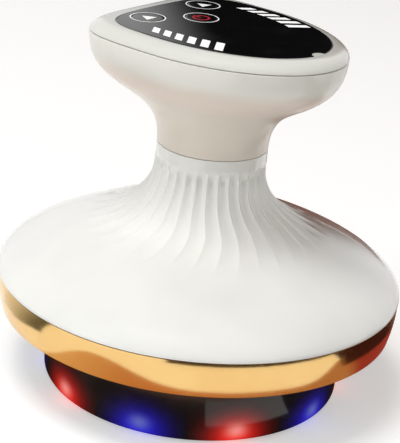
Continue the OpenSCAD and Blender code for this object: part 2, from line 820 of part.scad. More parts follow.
module lamp_set(first) {
    mid_r = (skirt_in_r + bowl_wall_r) / 2 + 0.2;
    for (i = [first:2:lamps - 1]) rotate(lamp_turn + i * 360 / lamps)
        translate([mid_r - lamp_w / 2, -lamp_len / 2, lamp_board_z1 - lamp_board_t - lamp_h])
        cube([lamp_w, lamp_len, lamp_h]);
}

module red_lamps() {
    color([0.9, 0.15, 0.12]) lamp_set(0);
}

module blue_lamps() {
    color([0.15, 0.15, 0.9]) lamp_set(1);
}

module power_board() {
    color(board_green) difference() {
        ring(board_out_r, pump_r + 3, power_z1 - power_t, power_z1);
        translate([-ring_r, board_edge_y, 0]) cube([2 * ring_r, ring_r, power_z1 + cut]);
    }
}

// Its children at a spot of the power board, given in shares of the board's radius
module on_power_board(x, y) {
    translate([x * board_out_r, y * board_out_r, power_z1]) children();
}

module power_parts() {
    chip = [8, 8, 1.2];
    coil = [6, 5, 2.6];
    socket = [5, 6, 2];
    color(soft_black) {
        on_power_board(-0.12, -0.7) cube(chip);
        on_power_board(0.29, -0.65) cube(coil);
        on_power_board(-0.59, -0.59) cube(socket);
        on_power_board(0.53, -0.41) cylinder(r = 2.6, h = 4);
        on_power_board(-0.41, -0.82) cylinder(r = 2, h = 3.4);
    }
}

module board_posts() {
    color(soft_black) for (a = board_post_turns) rotate(a) translate([board_out_r - 4, 0, 0])
        disc(2, bowl_flange_z1 + seat, power_z1 - power_t - seat);
}

module battery() {
    color([0.25, 0.3, 0.5]) translate([battery_x - battery_size[0] / 2, -battery_size[1] / 2,
        bowl_floor_z1 + pad_t + 2 * seat]) cube(battery_size);
}

module battery_pad() {
    color(rubber_grey) translate([battery_x - battery_size[0] / 2 + 0.5, -battery_size[1] / 2 + 0.5,
        bowl_floor_z1 + seat]) cube([battery_size[0] - 1, battery_size[1] - 1, pad_t]);
}

module cradle_slots(z0) {
    for (a = lead_turns) rotate(a) translate([motor_r + 0.3, -lead_slot / 2, z0])
        cube([lead_slot, lead_slot, neck_z]);
}

module pump_cradle() {
    out_r = pump_r + 2.2;
    foot_r = board_out_r - 3;
    arm_w = 5;
    color(soft_black) difference() {
        union() {
            disc(out_r, cradle_z0, cradle_z1);
            ring(out_r, pump_r + loose, cradle_z0, cradle_z1 + 3.4);
            for (a = [90, 20, 160]) rotate(a) {
                translate([out_r - cut, -arm_w / 2, cradle_z0])
                    cube([foot_r - out_r + cut, arm_w, cradle_t]);
                translate([foot_r, 0, 0]) disc(arm_w / 2, bowl_flange_z1 + seat, cradle_z1);
            }
        }
        disc(tube_r + 0.4, cradle_z0 - cut, cradle_z1 + cut);
        translate([outlet_x, 0, 0]) disc(air_r + 0.4, cradle_z0 - cut, cradle_z1 + cut);
        cradle_slots(cradle_z0 - cut);
    }
}

module motor_grommet() {
    color(rubber_grey) difference() {
        ring(neck_r - dome_wall - 0.15, motor_r + seat, grommet_z, grommet_z + grommet_h);
        cradle_slots(grommet_z - cut);
    }
}

module pump_motor() {
    color(steel) difference() {
        union() {
            disc(motor_r, motor_z0, motor_z1);
            disc(3, motor_z1 - eps, motor_z1 + 0.8);
        }
        disc(shaft_r + run, motor_z0 - cut, motor_z1 - 1);
    }
}

module motor_shaft() {
    color(steel) disc(shaft_r, shaft_z0, motor_z1 - 1.3);
}

module wobble_frame() {
    translate([0, 0, wobble_z]) rotate([wobble, 0, 0]) children();
}

module pump_eccentric() {
    color(white) difference() {
        disc(4.6, motor_z0 - 4.8, motor_z0 - 1.8);
        disc(shaft_r + 0.02, shaft_z0, motor_z0);
        wobble_frame() cylinder(r = wobble_pin_r + seat, h = 2.7);
    }
}

module wobble_plate() {
    color(soft_black) wobble_frame() {
        disc(5.2, -0.4, 0.4);
        cylinder(r = wobble_pin_r, h = 2.5);
    }
}

module pump_case() {
    color(soft_black) difference() {
        disc(pump_r, case_z0, case_z1);
        disc(pump_r - 1.4, case_z0 - cut, case_z1 - 1);
        disc(shaft_r + 0.25, case_z0, case_z1 + cut);
    }
}

module pump_diaphragm() {
    color(rubber_grey) {
        disc(pump_r - 0.2, case_z0 - seat - diaphragm_t, case_z0 - seat);
        for (a = [0, 120, 240]) rotate(a) translate([chamber_r, 0, 0])
            disc(1.8, case_z0 - loose, case_z0 + 1);
    }
}

module valve_plate() {
    z0 = pump_z0 + cap_t + seat;
    color(white) difference() {
        disc(pump_r, z0, z0 + valve_plate_t);
        for (a = [0, 120, 240]) rotate(a) translate([chamber_r, 0, 0]) disc(0.6, 0, case_z0);
    }
}

module pump_cap() {
    color(white) difference() {
        union() {
            disc(pump_r, pump_z0, pump_z0 + cap_t);
            disc(barb_r, pump_z0 - 2.2, pump_z0 + eps);
        }
        disc(air_r, 0, pump_z0 + cap_t + cut);
        translate([outlet_x, 0, 0]) disc(air_r, 0, pump_z0 + cap_t + cut);
    }
}

module pump_tube() {
    color(rubber_grey) ring(tube_r, barb_r + seat, hub_z1 + 0.2, pump_z0 - 0.3);
}

module valve_tube() {
    color(rubber_grey) translate([0, 0, side_barb_z]) rotate([0, 90, 0])
        ring(tube_r, barb_r + seat, hub_r + 0.4, valve_x - valve_len / 2 - 0.2);
}

module valve_body() {
    duct_r = 0.6;
    duct_x = valve_x - 4.2;
    duct_z = valve_seat_z - 0.8;
    side_x = valve_x - valve_len / 2;
    color([0.2, 0.25, 0.55]) difference() {
        union() {
            translate([side_x, -valve_w / 2, bowl_floor_z1 + seat])
                cube([valve_len, valve_w, bore_z1 + 0.8 - bowl_floor_z1 - seat]);
            translate([side_x - valve_barb, 0, side_barb_z]) rotate([0, 90, 0])
                cylinder(r = barb_r, h = valve_barb + cut);
        }
        translate([valve_x, 0, 0]) disc(valve_bore, valve_seat_z, bore_z1);
        translate([side_x - valve_barb - cut, 0, side_barb_z]) rotate([0, 90, 0])
            cylinder(r = duct_r, h = duct_x - side_x + valve_barb + cut);
        translate([duct_x, 0, 0]) disc(duct_r, duct_z, side_barb_z + duct_r);
        translate([duct_x, 0, duct_z]) rotate([0, 90, 0]) cylinder(r = duct_r, h = valve_x - duct_x);
        translate([valve_x, 0, 0]) disc(duct_r, duct_z, valve_seat_z + cut);
    }
}

module valve_plunger() {
    color(steel) translate([valve_x, 0, 0])
        disc(valve_bore - run, valve_seat_z + seat, valve_seat_z + plunger_h);
}

module valve_spring() {
    turns = 4;
    sides = 6;
    wire = 0.2;
    coil_r = 1.2;
    z0 = valve_seat_z + plunger_h + wire + seat;
    rise = spring_h - 2 * wire - 2 * seat;
    steps = turns * 8;
    points = [for (i = [0:steps]) let (a = 360 * turns * i / steps) for (j = [0:sides - 1])
        let (b = 360 * j / sides, r = coil_r + wire * cos(b))
        [r * cos(a), r * sin(a), z0 + rise * i / steps + wire * sin(b)]];
    walls = [for (i = [0:steps - 1]) for (j = [0:sides - 1]) let (j2 = (j + 1) % sides,
        a = i * sides + j, b = i * sides + j2, c = (i + 1) * sides + j2, d = (i + 1) * sides + j)
        each [[a, b, c], [a, c, d]]];
    ends = concat([[for (j = [sides - 1:-1:0]) j]], [[for (j = [0:sides - 1]) steps * sides + j]]);
    color(steel) translate([valve_x, 0, 0]) polyhedron(points, concat(walls, ends));
}

module wire_leg(p, q, r) {
    d = q - p;
    translate(p) rotate([0, acos(d[2] / norm(d)), atan2(d[1], d[0])])
        cylinder(r = r, h = norm(d), $fn = 16);
}

module wire_path(points, r) {
    for (i = [0:len(points) - 2]) wire_leg(points[i], points[i + 1], r);
    for (i = [1:len(points) - 2]) translate(points[i]) sphere(r = r, $fn = 16);
}

module display_cable() {
    w = 5;
    t = 0.3;
    z0 = power_z1 + 0.3;
    end_z0 = power_z1 + seat;
    end_z1 = display_z0 - seat;
    color([0.75, 0.5, 0.2]) rotate(lead_turns[0]) translate([0, w / 2, 0]) rotate([90, 0, 0])
        linear_extrude(w) polygon([[lead_r, z0], [lead_foot_r, z0], [lead_foot_r, end_z0],
            [lead_foot_r + t, end_z0], [lead_foot_r + t, z0 + t], [lead_r + t, z0 + t],
            [lead_r + t, end_z1], [lead_r, end_z1]]);
}

module motor_leads() {
    start_x = motor_r - 2.7;
    top_z = motor_z1 + 1.6;
    low_z = power_z1 + 1;
    for (y = [-1.5, 1.5]) color(y < 0 ? lead_red : lead_black) rotate(lead_turns[1]) wire_path([
        [start_x, y, motor_z1 + seat], [start_x, y, top_z], [lead_r, y, top_z], [lead_r, y, low_z],
        [lead_foot_r, y, low_z], [lead_foot_r, y, power_z1 + seat]], wire_r);
}

module battery_leads() {
    top_z = power_z1 - power_t - seat;
    low_z = top_z - 3.5;
    y0 = -battery_size[1] / 2 - seat;
    y1 = y0 - 1.1;
    for (dx = [-1.75, 1.75]) let (x = battery_x + dx) color(dx < 0 ? lead_red : lead_black)
        wire_path([[x, y0, low_z], [x, y1, low_z], [x, y1, top_z]], wire_r);
}

touch_panel();
power_key();
suction_key();
heat_key();
left_light_bars();
right_light_bars();
status_light();
light_mask();
key_domes();
display_board();
display_lamps();
board_screws();
head_frame();
top_bezel();
handle_shell();
neck_disc();
charging_port();
port_board();
dome_shell();
trim_ring();
base_frame();
base_screws();
light_skirt();
suction_bowl();
cup_ring();
soft_lip();
heat_plate();
massage_beads();
heater_film();
thermistor();
suction_nozzle();
nozzle_nut();
nozzle_gasket();
filter_disc();
lamp_board();
red_lamps();
blue_lamps();
power_board();
power_parts();
board_posts();
battery();
battery_pad();
pump_cradle();
motor_grommet();
pump_motor();
motor_shaft();
pump_eccentric();
wobble_plate();
pump_case();
pump_diaphragm();
valve_plate();
pump_cap();
pump_tube();
valve_tube();
valve_body();
valve_plunger();
valve_spring();
display_cable();
motor_leads();
battery_leads();
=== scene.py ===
"""Looks of an electric suction massager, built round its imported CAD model.

Everything is in metres in the frame of the CAD model: Z up, origin under the middle of the
suction lip, the narrow end of the head along -Y. Sizes in the classes are in millimetres, as
on the drawing, and MM turns them into metres. Angles round the axis are in degrees from +X.
"""

import json
import logging
import math
from collections.abc import Mapping, Sequence
from dataclasses import dataclass, field
from enum import Enum

import bpy
import numpy as np
from mathutils import Matrix, Vector


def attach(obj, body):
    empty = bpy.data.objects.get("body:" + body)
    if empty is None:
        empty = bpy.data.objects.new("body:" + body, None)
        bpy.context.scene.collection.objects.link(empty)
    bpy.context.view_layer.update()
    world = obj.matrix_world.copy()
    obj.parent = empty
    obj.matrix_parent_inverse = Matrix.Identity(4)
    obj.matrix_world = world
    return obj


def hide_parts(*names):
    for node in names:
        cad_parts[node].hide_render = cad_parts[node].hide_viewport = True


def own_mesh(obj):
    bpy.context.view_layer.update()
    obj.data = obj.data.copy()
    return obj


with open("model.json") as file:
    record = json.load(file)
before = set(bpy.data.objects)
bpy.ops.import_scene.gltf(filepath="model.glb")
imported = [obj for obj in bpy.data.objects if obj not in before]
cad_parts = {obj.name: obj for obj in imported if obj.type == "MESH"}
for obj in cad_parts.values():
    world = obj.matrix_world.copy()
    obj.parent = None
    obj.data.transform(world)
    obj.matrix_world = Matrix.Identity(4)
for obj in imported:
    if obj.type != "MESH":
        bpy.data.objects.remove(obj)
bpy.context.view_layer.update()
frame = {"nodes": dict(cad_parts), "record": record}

log = logging.getLogger("massager")
MM = 0.001
BODY = "massager_body"
Colour = tuple[float, float, float]
Outline = tuple[tuple[float, float], ...]
Points = np.ndarray
Value = "float | Sock"
WHITE = (1.0, 1.0, 1.0)
UNLIT = (0.0, 0.0, 0.0)


def tone(red: int, green: int, blue: int) -> Colour:
    """Turns a display colour into the linear colour that shaders take.

    Args:
        red: Red from 0 to 255.
        green: Green from 0 to 255.
        blue: Blue from 0 to 255.

    Returns:
        The linear colour.
    """
    share = np.array([red, green, blue]) / 255
    linear = np.where(share <= 0.04045, share / 12.92, ((share + 0.055) / 1.055) ** 2.4)
    return tuple(float(c) for c in linear)


def shade_of(colour: Colour, factor: float, lift: float = 0.0) -> Colour:
    """A colour times a factor, plus a lift, kept at or below 1."""
    return tuple(min(1.0, factor * c + lift) for c in colour)


class Sock:
    """A shader value that takes part in arithmetic and adds the Math nodes it needs."""

    def __init__(self, graph: "Graph", socket: bpy.types.NodeSocket) -> None:
        """Keeps the graph and the output socket that holds the value."""
        self.graph = graph
        self.socket = socket

    def math(self, operation: str, *others: "Value") -> "Sock":
        """Adds a Math node on this value.

        Args:
            operation: The node's operation.
            others: Its second and third values.

        Returns:
            The result.
        """
        values = dict(enumerate((self, *others)))
        node = self.graph.node("ShaderNodeMath", {"operation": operation}, values)
        return Sock(self.graph, node.outputs[0])

    def __add__(self, other: "Value") -> "Sock":
        """This value and another."""
        return self.math("ADD", other)

    def __sub__(self, other: "Value") -> "Sock":
        """This value less another."""
        return self.math("SUBTRACT", other)

    def __rsub__(self, other: float) -> "Sock":
        """A number less this value."""
        return self.math("MULTIPLY_ADD", -1.0, other)

    def __mul__(self, other: "Value") -> "Sock":
        """This value times another."""
        return self.math("MULTIPLY", other)

    def __truediv__(self, other: "Value") -> "Sock":
        """This value over another."""
        return self.math("DIVIDE", other)

    def __pow__(self, power: float) -> "Sock":
        """This value to a power."""
        return self.math("POWER", power)

    __radd__ = __add__
    __rmul__ = __mul__

    def within(self, low: float, high: float) -> "Sock":
        """Rises smoothly from 0 at low to 1 at high, or falls where low is above high.

        Args:
            low: Where the result is 0.
            high: Where the result is 1.

        Returns:
            The smooth step.
        """
        inverse = low > high
        ends = (high, low) if inverse else (low, high)
        goal = (1.0, 0.0) if inverse else (0.0, 1.0)
        settings = {"interpolation_type": "SMOOTHSTEP"}
        sockets = {0: self, 1: ends[0], 2: ends[1], 3: goal[0], 4: goal[1]}
        return Sock(self.graph, self.graph.node("ShaderNodeMapRange", settings, sockets).outputs[0])


def distance(x: Sock, y: Sock) -> Sock:
    """How far a point is from x = y = 0: the root of x squared plus y squared."""
    return (x ** 2.0 + y ** 2.0).math("SQRT")


def bearing(x: Sock, y: Sock) -> Sock:
    """The angle of a point round x = y = 0, in degrees from +X."""
    return y.math("ARCTAN2", x) * (180 / math.pi)


class Graph:
    """The node tree of one material or of the world, with the few ways in which nodes are made."""

    def __init__(self, tree: bpy.types.NodeTree) -> None:
        """Empties the tree and keeps it."""
        self.tree = tree
        tree.nodes.clear()

    def node(self, kind: str, settings: Mapping[str, object] | None = None,
             sockets: Mapping[int | str, object] | None = None) -> bpy.types.Node:
        """Adds a node.

        Args:
            kind: The node's type.
            settings: Its properties, which are set first.
            sockets: A number, a colour, a Sock or an output socket for each input.

        Returns:
            The node.
        """
        made = self.tree.nodes.new(kind)
        for key, value in (settings or {}).items():
            setattr(made, key, value)
        for key, value in (sockets or {}).items():
            if isinstance(value, Sock):
                value = value.socket
            if isinstance(value, bpy.types.NodeSocket):
                self.tree.links.new(value, made.inputs[key])
            elif isinstance(value, tuple) and made.inputs[key].type == "RGBA":
                made.inputs[key].default_value = (*value, 1.0)
            else:
                made.inputs[key].default_value = value
        return made

    def place(self) -> bpy.types.NodeSocket:
        """The Object coordinates, which here are places in the CAD frame in metres."""
        return self.node("ShaderNodeTexCoord").outputs["Object"]

    def axes(self) -> tuple[Sock, Sock, Sock]:
        """X, Y and Z of the Object coordinates, in millimetres."""
        split = self.node("ShaderNodeSeparateXYZ", {}, {0: self.place()})
        return tuple(Sock(self, out) * (1 / MM) for out in split.outputs)

    def noise(self, size: float, detail: float = 3.0, stretch: Colour = WHITE) -> Sock:
        """A cloudy value near 0.5.

        Args:
            size: Size of its features in millimetres.
            detail: How many finer layers it has.
            stretch: Scale along each axis.

        Returns:
            The noise.
        """
        turned = self.node("ShaderNodeMapping", {}, {"Vector": self.place(), "Scale": stretch})
        made = self.node("ShaderNodeTexNoise", {}, {
            "Vector": turned.outputs[0], "Scale": 1 / (size * MM), "Detail": detail,
            "Roughness": 0.55})
        return Sock(self, made.outputs[0])

    def blend(self, share: "Value", first: object, second: object) -> bpy.types.NodeSocket:
        """Mixes two colours.

        Args:
            share: 0 for the first colour, 1 for the second.
            first: The first colour.
            second: The second colour.

        Returns:
            The mixed colour.
        """
        made = self.node("ShaderNodeMix", {"data_type": "RGBA", "clamp_factor": True},
                         {0: share, 6: first, 7: second})
        return made.outputs[2]

    def relief(self, height: Sock, depth: float) -> bpy.types.NodeSocket:
        """Turns a height into a normal.

        Args:
            height: The height from 0 to 1.
            depth: What 1 stands for, in millimetres.

        Returns:
            The normal.
        """
        made = self.node("ShaderNodeBump", {}, {
            "Height": height, "Distance": depth * MM, "Strength": 1.0})
        return made.outputs[0]

    def principled(self, **sockets: object) -> bpy.types.Node:
        """Adds a Principled shader; an underscore in a name stands for a space."""
        names = {key.replace("_", " "): value for key, value in sockets.items()}
        return self.node("ShaderNodeBsdfPrincipled", {}, names)

    def emission(self, colour: object, strength: float = 1.0) -> bpy.types.Node:
        """Adds a shader that only gives light."""
        return self.node("ShaderNodeEmission", {}, {"Color": colour, "Strength": strength})

    def either(self, share: object, first: bpy.types.Node,
               second: bpy.types.Node) -> bpy.types.Node:
        """Mixes two shaders.

        Args:
            share: 0 for the first shader, 1 for the second.
            first: The first shader.
            second: The second shader.

        Returns:
            The mixed shader.
        """
        return self.node("ShaderNodeMixShader", {},
                         {0: share, 1: first.outputs[0], 2: second.outputs[0]})

    def seen(self) -> Sock:
        """1 for rays of the camera, of reflections and through clear things, 0 for the rest.

        Returns:
            The value.
        """
        path = self.node("ShaderNodeLightPath")
        camera, glossy, through = (Sock(self, path.outputs[f"Is {kind} Ray"])
                                   for kind in ("Camera", "Glossy", "Transmission"))
        return camera.math("MAXIMUM", glossy).math("MAXIMUM", through)

    def output(self, shader: bpy.types.Node, kind: str = "ShaderNodeOutputMaterial") -> None:
        """Sends a shader to the output."""
        self.node(kind, {}, {"Surface": shader.outputs[0]})


def new_material(name: str) -> tuple[bpy.types.Material, Graph]:
    """Makes an empty material.

    Args:
        name: Its name.

    Returns:
        The material and its graph.
    """
    material = bpy.data.materials.new(name)
    material.use_nodes = True
    return material, Graph(material.node_tree)


def cover(obj: bpy.types.Object, material: bpy.types.Material) -> None:
    """Gives an object one material in place of those it has."""
    obj.data.materials.clear()
    obj.data.materials.append(material)


@dataclass(frozen=True)
class Finish:
    """A finish with a name; each kind has its own way to shade."""

    name: str

    def build(self) -> bpy.types.Material:
        """Makes the material.

        Returns:
            The material, with the finish's shader at its output.
        """
        material, graph = new_material(self.name)
        graph.output(self.shade(graph))
        return material

    def shade(self, graph: Graph) -> bpy.types.Node:
        """Adds the finish's nodes.

        Args:
            graph: The material's nodes.

        Returns:
            The shader.
        """
        raise NotImplementedError(self.name)


@dataclass(frozen=True)
class Moulded(Finish):
    """Injection-moulded plastic: a faint orange peel, cloudy colour and handling marks."""

    colour: Colour
    rough: float = 0.2
    coat: float = 0.5
    peel: float = 0.004
    cloud: float = 0.03
    peel_size: float = 0.9

    def shade(self, graph: Graph) -> bpy.types.Node:
        """Lets the colour darken in wide clouds and the gloss in small marks.

        Args:
            graph: The material's nodes.

        Returns:
            The shader.
        """
        broad = graph.noise(22.0, 2.0)
        fine = graph.noise(self.peel_size, 2.0)
        darker = shade_of(self.colour, 1 - 2 * self.cloud)
        marks = graph.noise(6.0, 5.0).within(0.45, 0.75)
        return graph.principled(
            Base_Color=graph.blend(broad.within(0.3, 0.7), darker, self.colour),
            Roughness=self.rough + 0.08 * marks + 0.03 * fine,
            Coat_Weight=self.coat, Coat_Roughness=0.05,
            Normal=graph.relief(fine, self.peel))


@dataclass(frozen=True)
class PaintedShadeTone(Finish):
    """Glossy warm plastic, darker low down and paler towards the seam under the head: partly its
    own colour and partly painted shade, with a painted warm reflection as a pink band between.
    """

    low: Colour
    painted_reflection: Colour
    high: Colour
    fade: tuple[float, float]
    rough: float = 0.27

    def shade(self, graph: Graph) -> bpy.types.Node:
        """Fades the darker low colour, partly painted shade, into the paler high one with height,
        with a painted warm reflection between them.

        Args:
            graph: The material's nodes.

        Returns:
            The shader.
        """
        height = graph.axes()[2]
        cloud = graph.noise(14.0, 3.0)
        fine = graph.noise(0.8, 2.0)
        level = height + 1.2 * cloud - 0.6
        low, high = self.fade
        # Painted warm reflection: a pink band between the low and the high colour.
        warm = level.within(low, low + 4) * level.within(high, low + 5) * 0.6
        plain = graph.blend(level.within(low, high), self.low, self.high)
        pale = graph.blend(warm, plain, self.painted_reflection)
        marks = graph.noise(5.0, 5.0).within(0.5, 0.8)
        return graph.principled(
            Base_Color=graph.blend(marks * 0.35, pale, shade_of(self.low, 0.97)),
            Roughness=self.rough + 0.07 * marks + 0.03 * fine,
            Coat_Weight=0.25, Coat_Roughness=0.12,
            Normal=graph.relief(fine, 0.004))


@dataclass(frozen=True)
class Plated(Finish):
    """Polished plating: hair-fine polishing marks round the ring and a breath of cloudiness."""

    colour: Colour
    deep: Colour

    def shade(self, graph: Graph) -> bpy.types.Node:
        """Stretches the marks round the ring and deepens the colour in clouds.

        Args:
            graph: The material's nodes.

        Returns:
            The shader.
        """
        marks = graph.noise(0.5, 3.0, (0.25, 0.25, 6.0))
        cloud = graph.noise(16.0, 3.0)
        return graph.principled(
            Base_Color=graph.blend(cloud.within(0.3, 0.75) * 0.5, self.colour, self.deep),
            Metallic=1.0,
            Roughness=0.1 + 0.08 * marks.within(0.35, 0.8) + 0.03 * cloud,
            Normal=graph.relief(marks, 0.0006))


@dataclass(frozen=True)
class Metal(Finish):
    """Bare metal, brushed along one axis or cast, with cloudy wear."""

    colour: Colour
    rough: float
    grain: Colour = (1.0, 1.0, 1.0)

    def shade(self, graph: Graph) -> bpy.types.Node:
        """Dulls the colour and the gloss along the grain and where it is worn.

        Args:
            graph: The material's nodes.

        Returns:
            The shader.
        """
        brush = graph.noise(0.3, 4.0, self.grain)
        wear = graph.noise(3.0, 4.0).within(0.4, 0.75)
        dull = shade_of(self.colour, 0.82)
        return graph.principled(
            Base_Color=graph.blend(0.6 * wear + 0.25 * brush, self.colour, dull),
            Metallic=1.0,
            Roughness=self.rough + 0.14 * brush + 0.08 * wear,
            Normal=graph.relief(brush, 0.003))


@dataclass(frozen=True)
class Rubber(Finish):
    """Matt silicone with a fine dusty grain."""

    colour: Colour

    def shade(self, graph: Graph) -> bpy.types.Node:
        """Dusts the colour over a fine grain.

        Args:
            graph: The material's nodes.

        Returns:
            The shader.
        """
        grain = graph.noise(0.25, 4.0)
        dust = graph.noise(4.0, 5.0).within(0.5, 0.8)
        dusty = shade_of(self.colour, 0.75, 0.08)
        return graph.principled(
            Base_Color=graph.blend(dust * 0.5, self.colour, dusty),
            Roughness=0.58 + 0.2 * grain,
            Sheen_Weight=0.15, Sheen_Roughness=0.5,
            Normal=graph.relief(grain, 0.02))


@dataclass(frozen=True)
class SmokedGlow(Finish):
    """Smoked plastic with the glow of red and blue lamps behind it painted on as light.

    A lobe or core is its height over the floor, its width and its height as a spot.
    """

    dark: Colour
    lights: tuple[Colour, Colour]
    cores: tuple[Colour, Colour]
    lamps: int
    turn: float
    skirt_r: float
    lobe: tuple[float, float, float] = (1.7, 4.9, 4.0)
    core: tuple[float, float, float] = (3.3, 2.0, 1.5)

    def shade(self, graph: Graph) -> bpy.types.Node:
        """Paints the lamps' glow on the smoked plastic as light.

        The angle round the axis is folded into one lamp's sector, and the arc from the
        sector's middle stands for the distance to the nearest lamp. A wide lobe of colour
        hugs the lower edge and a small pale core sits over it; both fall off with the square
        of the distance, and sectors take turns in colour.

        Args:
            graph: The material's nodes.

        Returns:
            The shader.
        """
        x, y, z = graph.axes()
        sector = 360.0 / self.lamps
        angle = bearing(x, y) + (720.0 - self.turn + sector / 2)
        count = (angle / sector).math("FLOOR")
        away = (angle - (count + 0.5) * sector) * (math.pi / 180 * self.skirt_r)
        odd = count.math("MODULO", 2.0)
        cloud = graph.noise(2.2, 3.0)
        # Painted light: the glow spots are emission on the skirt's surface.
        painted_halo = self._spot(away, z, *self.lobe) * (0.85 + 0.3 * cloud)
        painted_core = self._spot(away, z, *self.core)
        lit = graph.blend(painted_halo, UNLIT, graph.blend(odd, *self.lights))
        lit = graph.blend(painted_core * 0.5, lit, graph.blend(odd, *self.cores))
        haze = graph.noise(9.0, 3.0)
        brown = shade_of(self.dark, 1.7)
        fine = graph.noise(0.7, 2.0)
        return graph.principled(
            Base_Color=graph.blend(haze.within(0.35, 0.7), self.dark, brown),
            Roughness=0.14 + 0.1 * haze.within(0.4, 0.8),
            Coat_Weight=0.6, Coat_Roughness=0.06,
            Emission_Color=lit, Emission_Strength=1.0,
            Normal=graph.relief(fine, 0.003))

    @staticmethod
    def _spot(away: Sock, z: Sock, middle: float, width: float, height: float) -> Sock:
        """A spot of light: e to the minus of the squared distance over its width and height.

        Args:
            away: Distance along the wall from the spot's middle.
            z: Height of the point.
            middle: Height of the spot's middle.
            width: Its width.
            height: Its height.

        Returns:
            How bright the point is, from 0 to 1.
        """
        up = (z - middle) * (1 / height)
        spread = (away * (1 / width)) ** 2.0 + up ** 2.0
        return (spread * -1.0).math("EXPONENT")


@dataclass(frozen=True)
class Milky(Finish):
    """Frosted light pipe with a soft glow of its own."""

    colour: Colour
    glow: float

    def shade(self, graph: Graph) -> bpy.types.Node:
        """Clouds the colour and its glow alike.

        Args:
            graph: The material's nodes.

        Returns:
            The shader.
        """
        grain = graph.noise(0.4, 3.0)
        cloud = graph.noise(1.6, 2.0).within(0.3, 0.7)
        clouded = graph.blend(cloud, shade_of(self.colour, 0.93), self.colour)
        return graph.principled(
            Base_Color=clouded,
            Roughness=0.34 + 0.12 * grain,
            Emission_Color=clouded, Emission_Strength=self.glow,
            Normal=graph.relief(grain, 0.004))


class KeyMark(Enum):
    """What is printed on a key."""

    POWER = "power"
    LEVEL = "level"


@dataclass(frozen=True)
class Printed(Finish):
    """Gloss black plastic with an ink that is printed on its face and lit a little."""

    black: Colour
    ink: Colour

    def print_on(self, graph: Graph, ink: Sock, ground: bpy.types.NodeSocket, rough: Sock,
                 coat: Sock) -> bpy.types.Node:
        """Lays the ink over the gloss.

        Args:
            graph: The material's nodes.
            ink: 1 where there is ink, else 0.
            ground: Colour of the plastic.
            rough: Roughness of both.
            coat: Strength of the gloss skin over both.

        Returns:
            The shader.
        """
        return graph.principled(
            Base_Color=graph.blend(ink, ground, self.ink),
            Roughness=rough, Specular_IOR_Level=0.1,
            Coat_Weight=coat, Coat_Roughness=0.04,
            Emission_Color=graph.blend(ink, UNLIT, self.ink), Emission_Strength=0.35,
            Normal=graph.relief(graph.noise(1.4, 2.0), 0.0012))


@dataclass(frozen=True)
class GlossPanel(Printed):
    """Gloss black plastic, with white rings printed round the keys."""

    keys: tuple[tuple[float, float], ...]
    ring: tuple[float, float] = (3.62, 3.88)
    face: tuple[float, float] = (81.6, 81.9)
    soft: float = 0.05

    def shade(self, graph: Graph) -> bpy.types.Node:
        """Prints ink where the distance to a key's middle is in the ring.

        Args:
            graph: The material's nodes.

        Returns:
            The shader.
        """
        x, y, z = graph.axes()
        inner, outer = self.ring
        soft = self.soft
        ink = None
        for key_x, key_y in self.keys:
            far = distance(x - key_x, y - key_y)
            band = far.within(inner - soft, inner + soft) * far.within(outer + soft, outer - soft)
            ink = band if ink is None else ink.math("MAXIMUM", band)
        ink = ink * z.within(*self.face)
        smear = graph.noise(7.0, 5.0).within(0.5, 0.8)
        dust = graph.noise(0.35, 2.0).within(0.68, 0.8)
        ground = graph.blend(0.35 * dust + 0.15 * smear, self.black, tone(52, 52, 54))
        rough = 0.06 + 0.09 * smear + 0.3 * ink
        return self.print_on(graph, ink, ground, rough, 1.0 - 0.6 * ink)


@dataclass(frozen=True)
class PrintedKey(Printed):
    """Gloss black key cap with a printed mark."""

    mark: KeyMark
    at: tuple[float, float]
    face: tuple[float, float] = (82.0, 82.2)

    def shade(self, graph: Graph) -> bpy.types.Node:
        """Prints the mark on the cap's face.

        Args:
            graph: The material's nodes.

        Returns:
            The shader.
        """
        x, y, z = graph.axes()
        draw = self._power if self.mark is KeyMark.POWER else self._level
        ink = draw(x - self.at[0], y - self.at[1]) * z.within(*self.face)
        smear = graph.noise(5.0, 5.0).within(0.5, 0.8)
        ground = graph.blend(0.18 * smear, self.black, tone(52, 52, 54))
        rough = 0.07 + 0.09 * smear + 0.25 * ink
        return self.print_on(graph, ink, ground, rough, 1.0 - 0.5 * ink)

    @staticmethod
    def _power(x: Sock, y: Sock) -> Sock:
        """An open circle with a stroke in its gap.

        Args:
            x: Place across the key.
            y: Place along the key.

        Returns:
            1 on the mark, else 0.
        """
        far = distance(x, y)
        side = x.math("ABSOLUTE")
        circle = far.within(1.42, 1.52) * far.within(1.98, 1.88)
        gap = side.within(0.62, 0.55) * y.within(0.0, 0.1)
        stroke = side.within(0.26, 0.2) * y.within(0.1, 0.2) * y.within(2.2, 2.1)
        return (circle * (1 - gap)).math("MAXIMUM", stroke)

    @staticmethod
    def _level(x: Sock, y: Sock) -> Sock:
        """A solid triangle whose tip points to the blunt end of the head."""
        slope = x.math("ABSOLUTE") + 0.58 * y
        return slope.within(1.0, 0.92) * y.within(-1.2, -1.12)


@dataclass(frozen=True)
class Board(Finish):
    """Lacquered circuit board with traces and pads under the lacquer."""

    colour: Colour

    def shade(self, graph: Graph) -> bpy.types.Node:
        """Crosses straight and wavering traces and lets them show through the lacquer.

        Args:
            graph: The material's nodes.

        Returns:
            The shader.
        """
        x, y, _ = graph.axes()
        run = (x * 0.9).math("PINGPONG", 1.0).within(0.3, 0.4)
        cross = (y * 0.7 + 0.3 * graph.noise(6.0, 0.0)).math("PINGPONG", 1.0).within(0.25, 0.35)
        traces = run.math("MINIMUM", cross)
        light = shade_of(self.colour, 1.6, 0.02)
        cloud = graph.noise(3.0, 3.0)
        return graph.principled(
            Base_Color=graph.blend(0.7 * traces + 0.2 * cloud, self.colour, light),
            Roughness=0.3 + 0.15 * cloud,
            Coat_Weight=0.4, Coat_Roughness=0.15,
            Normal=graph.relief(traces, 0.02))


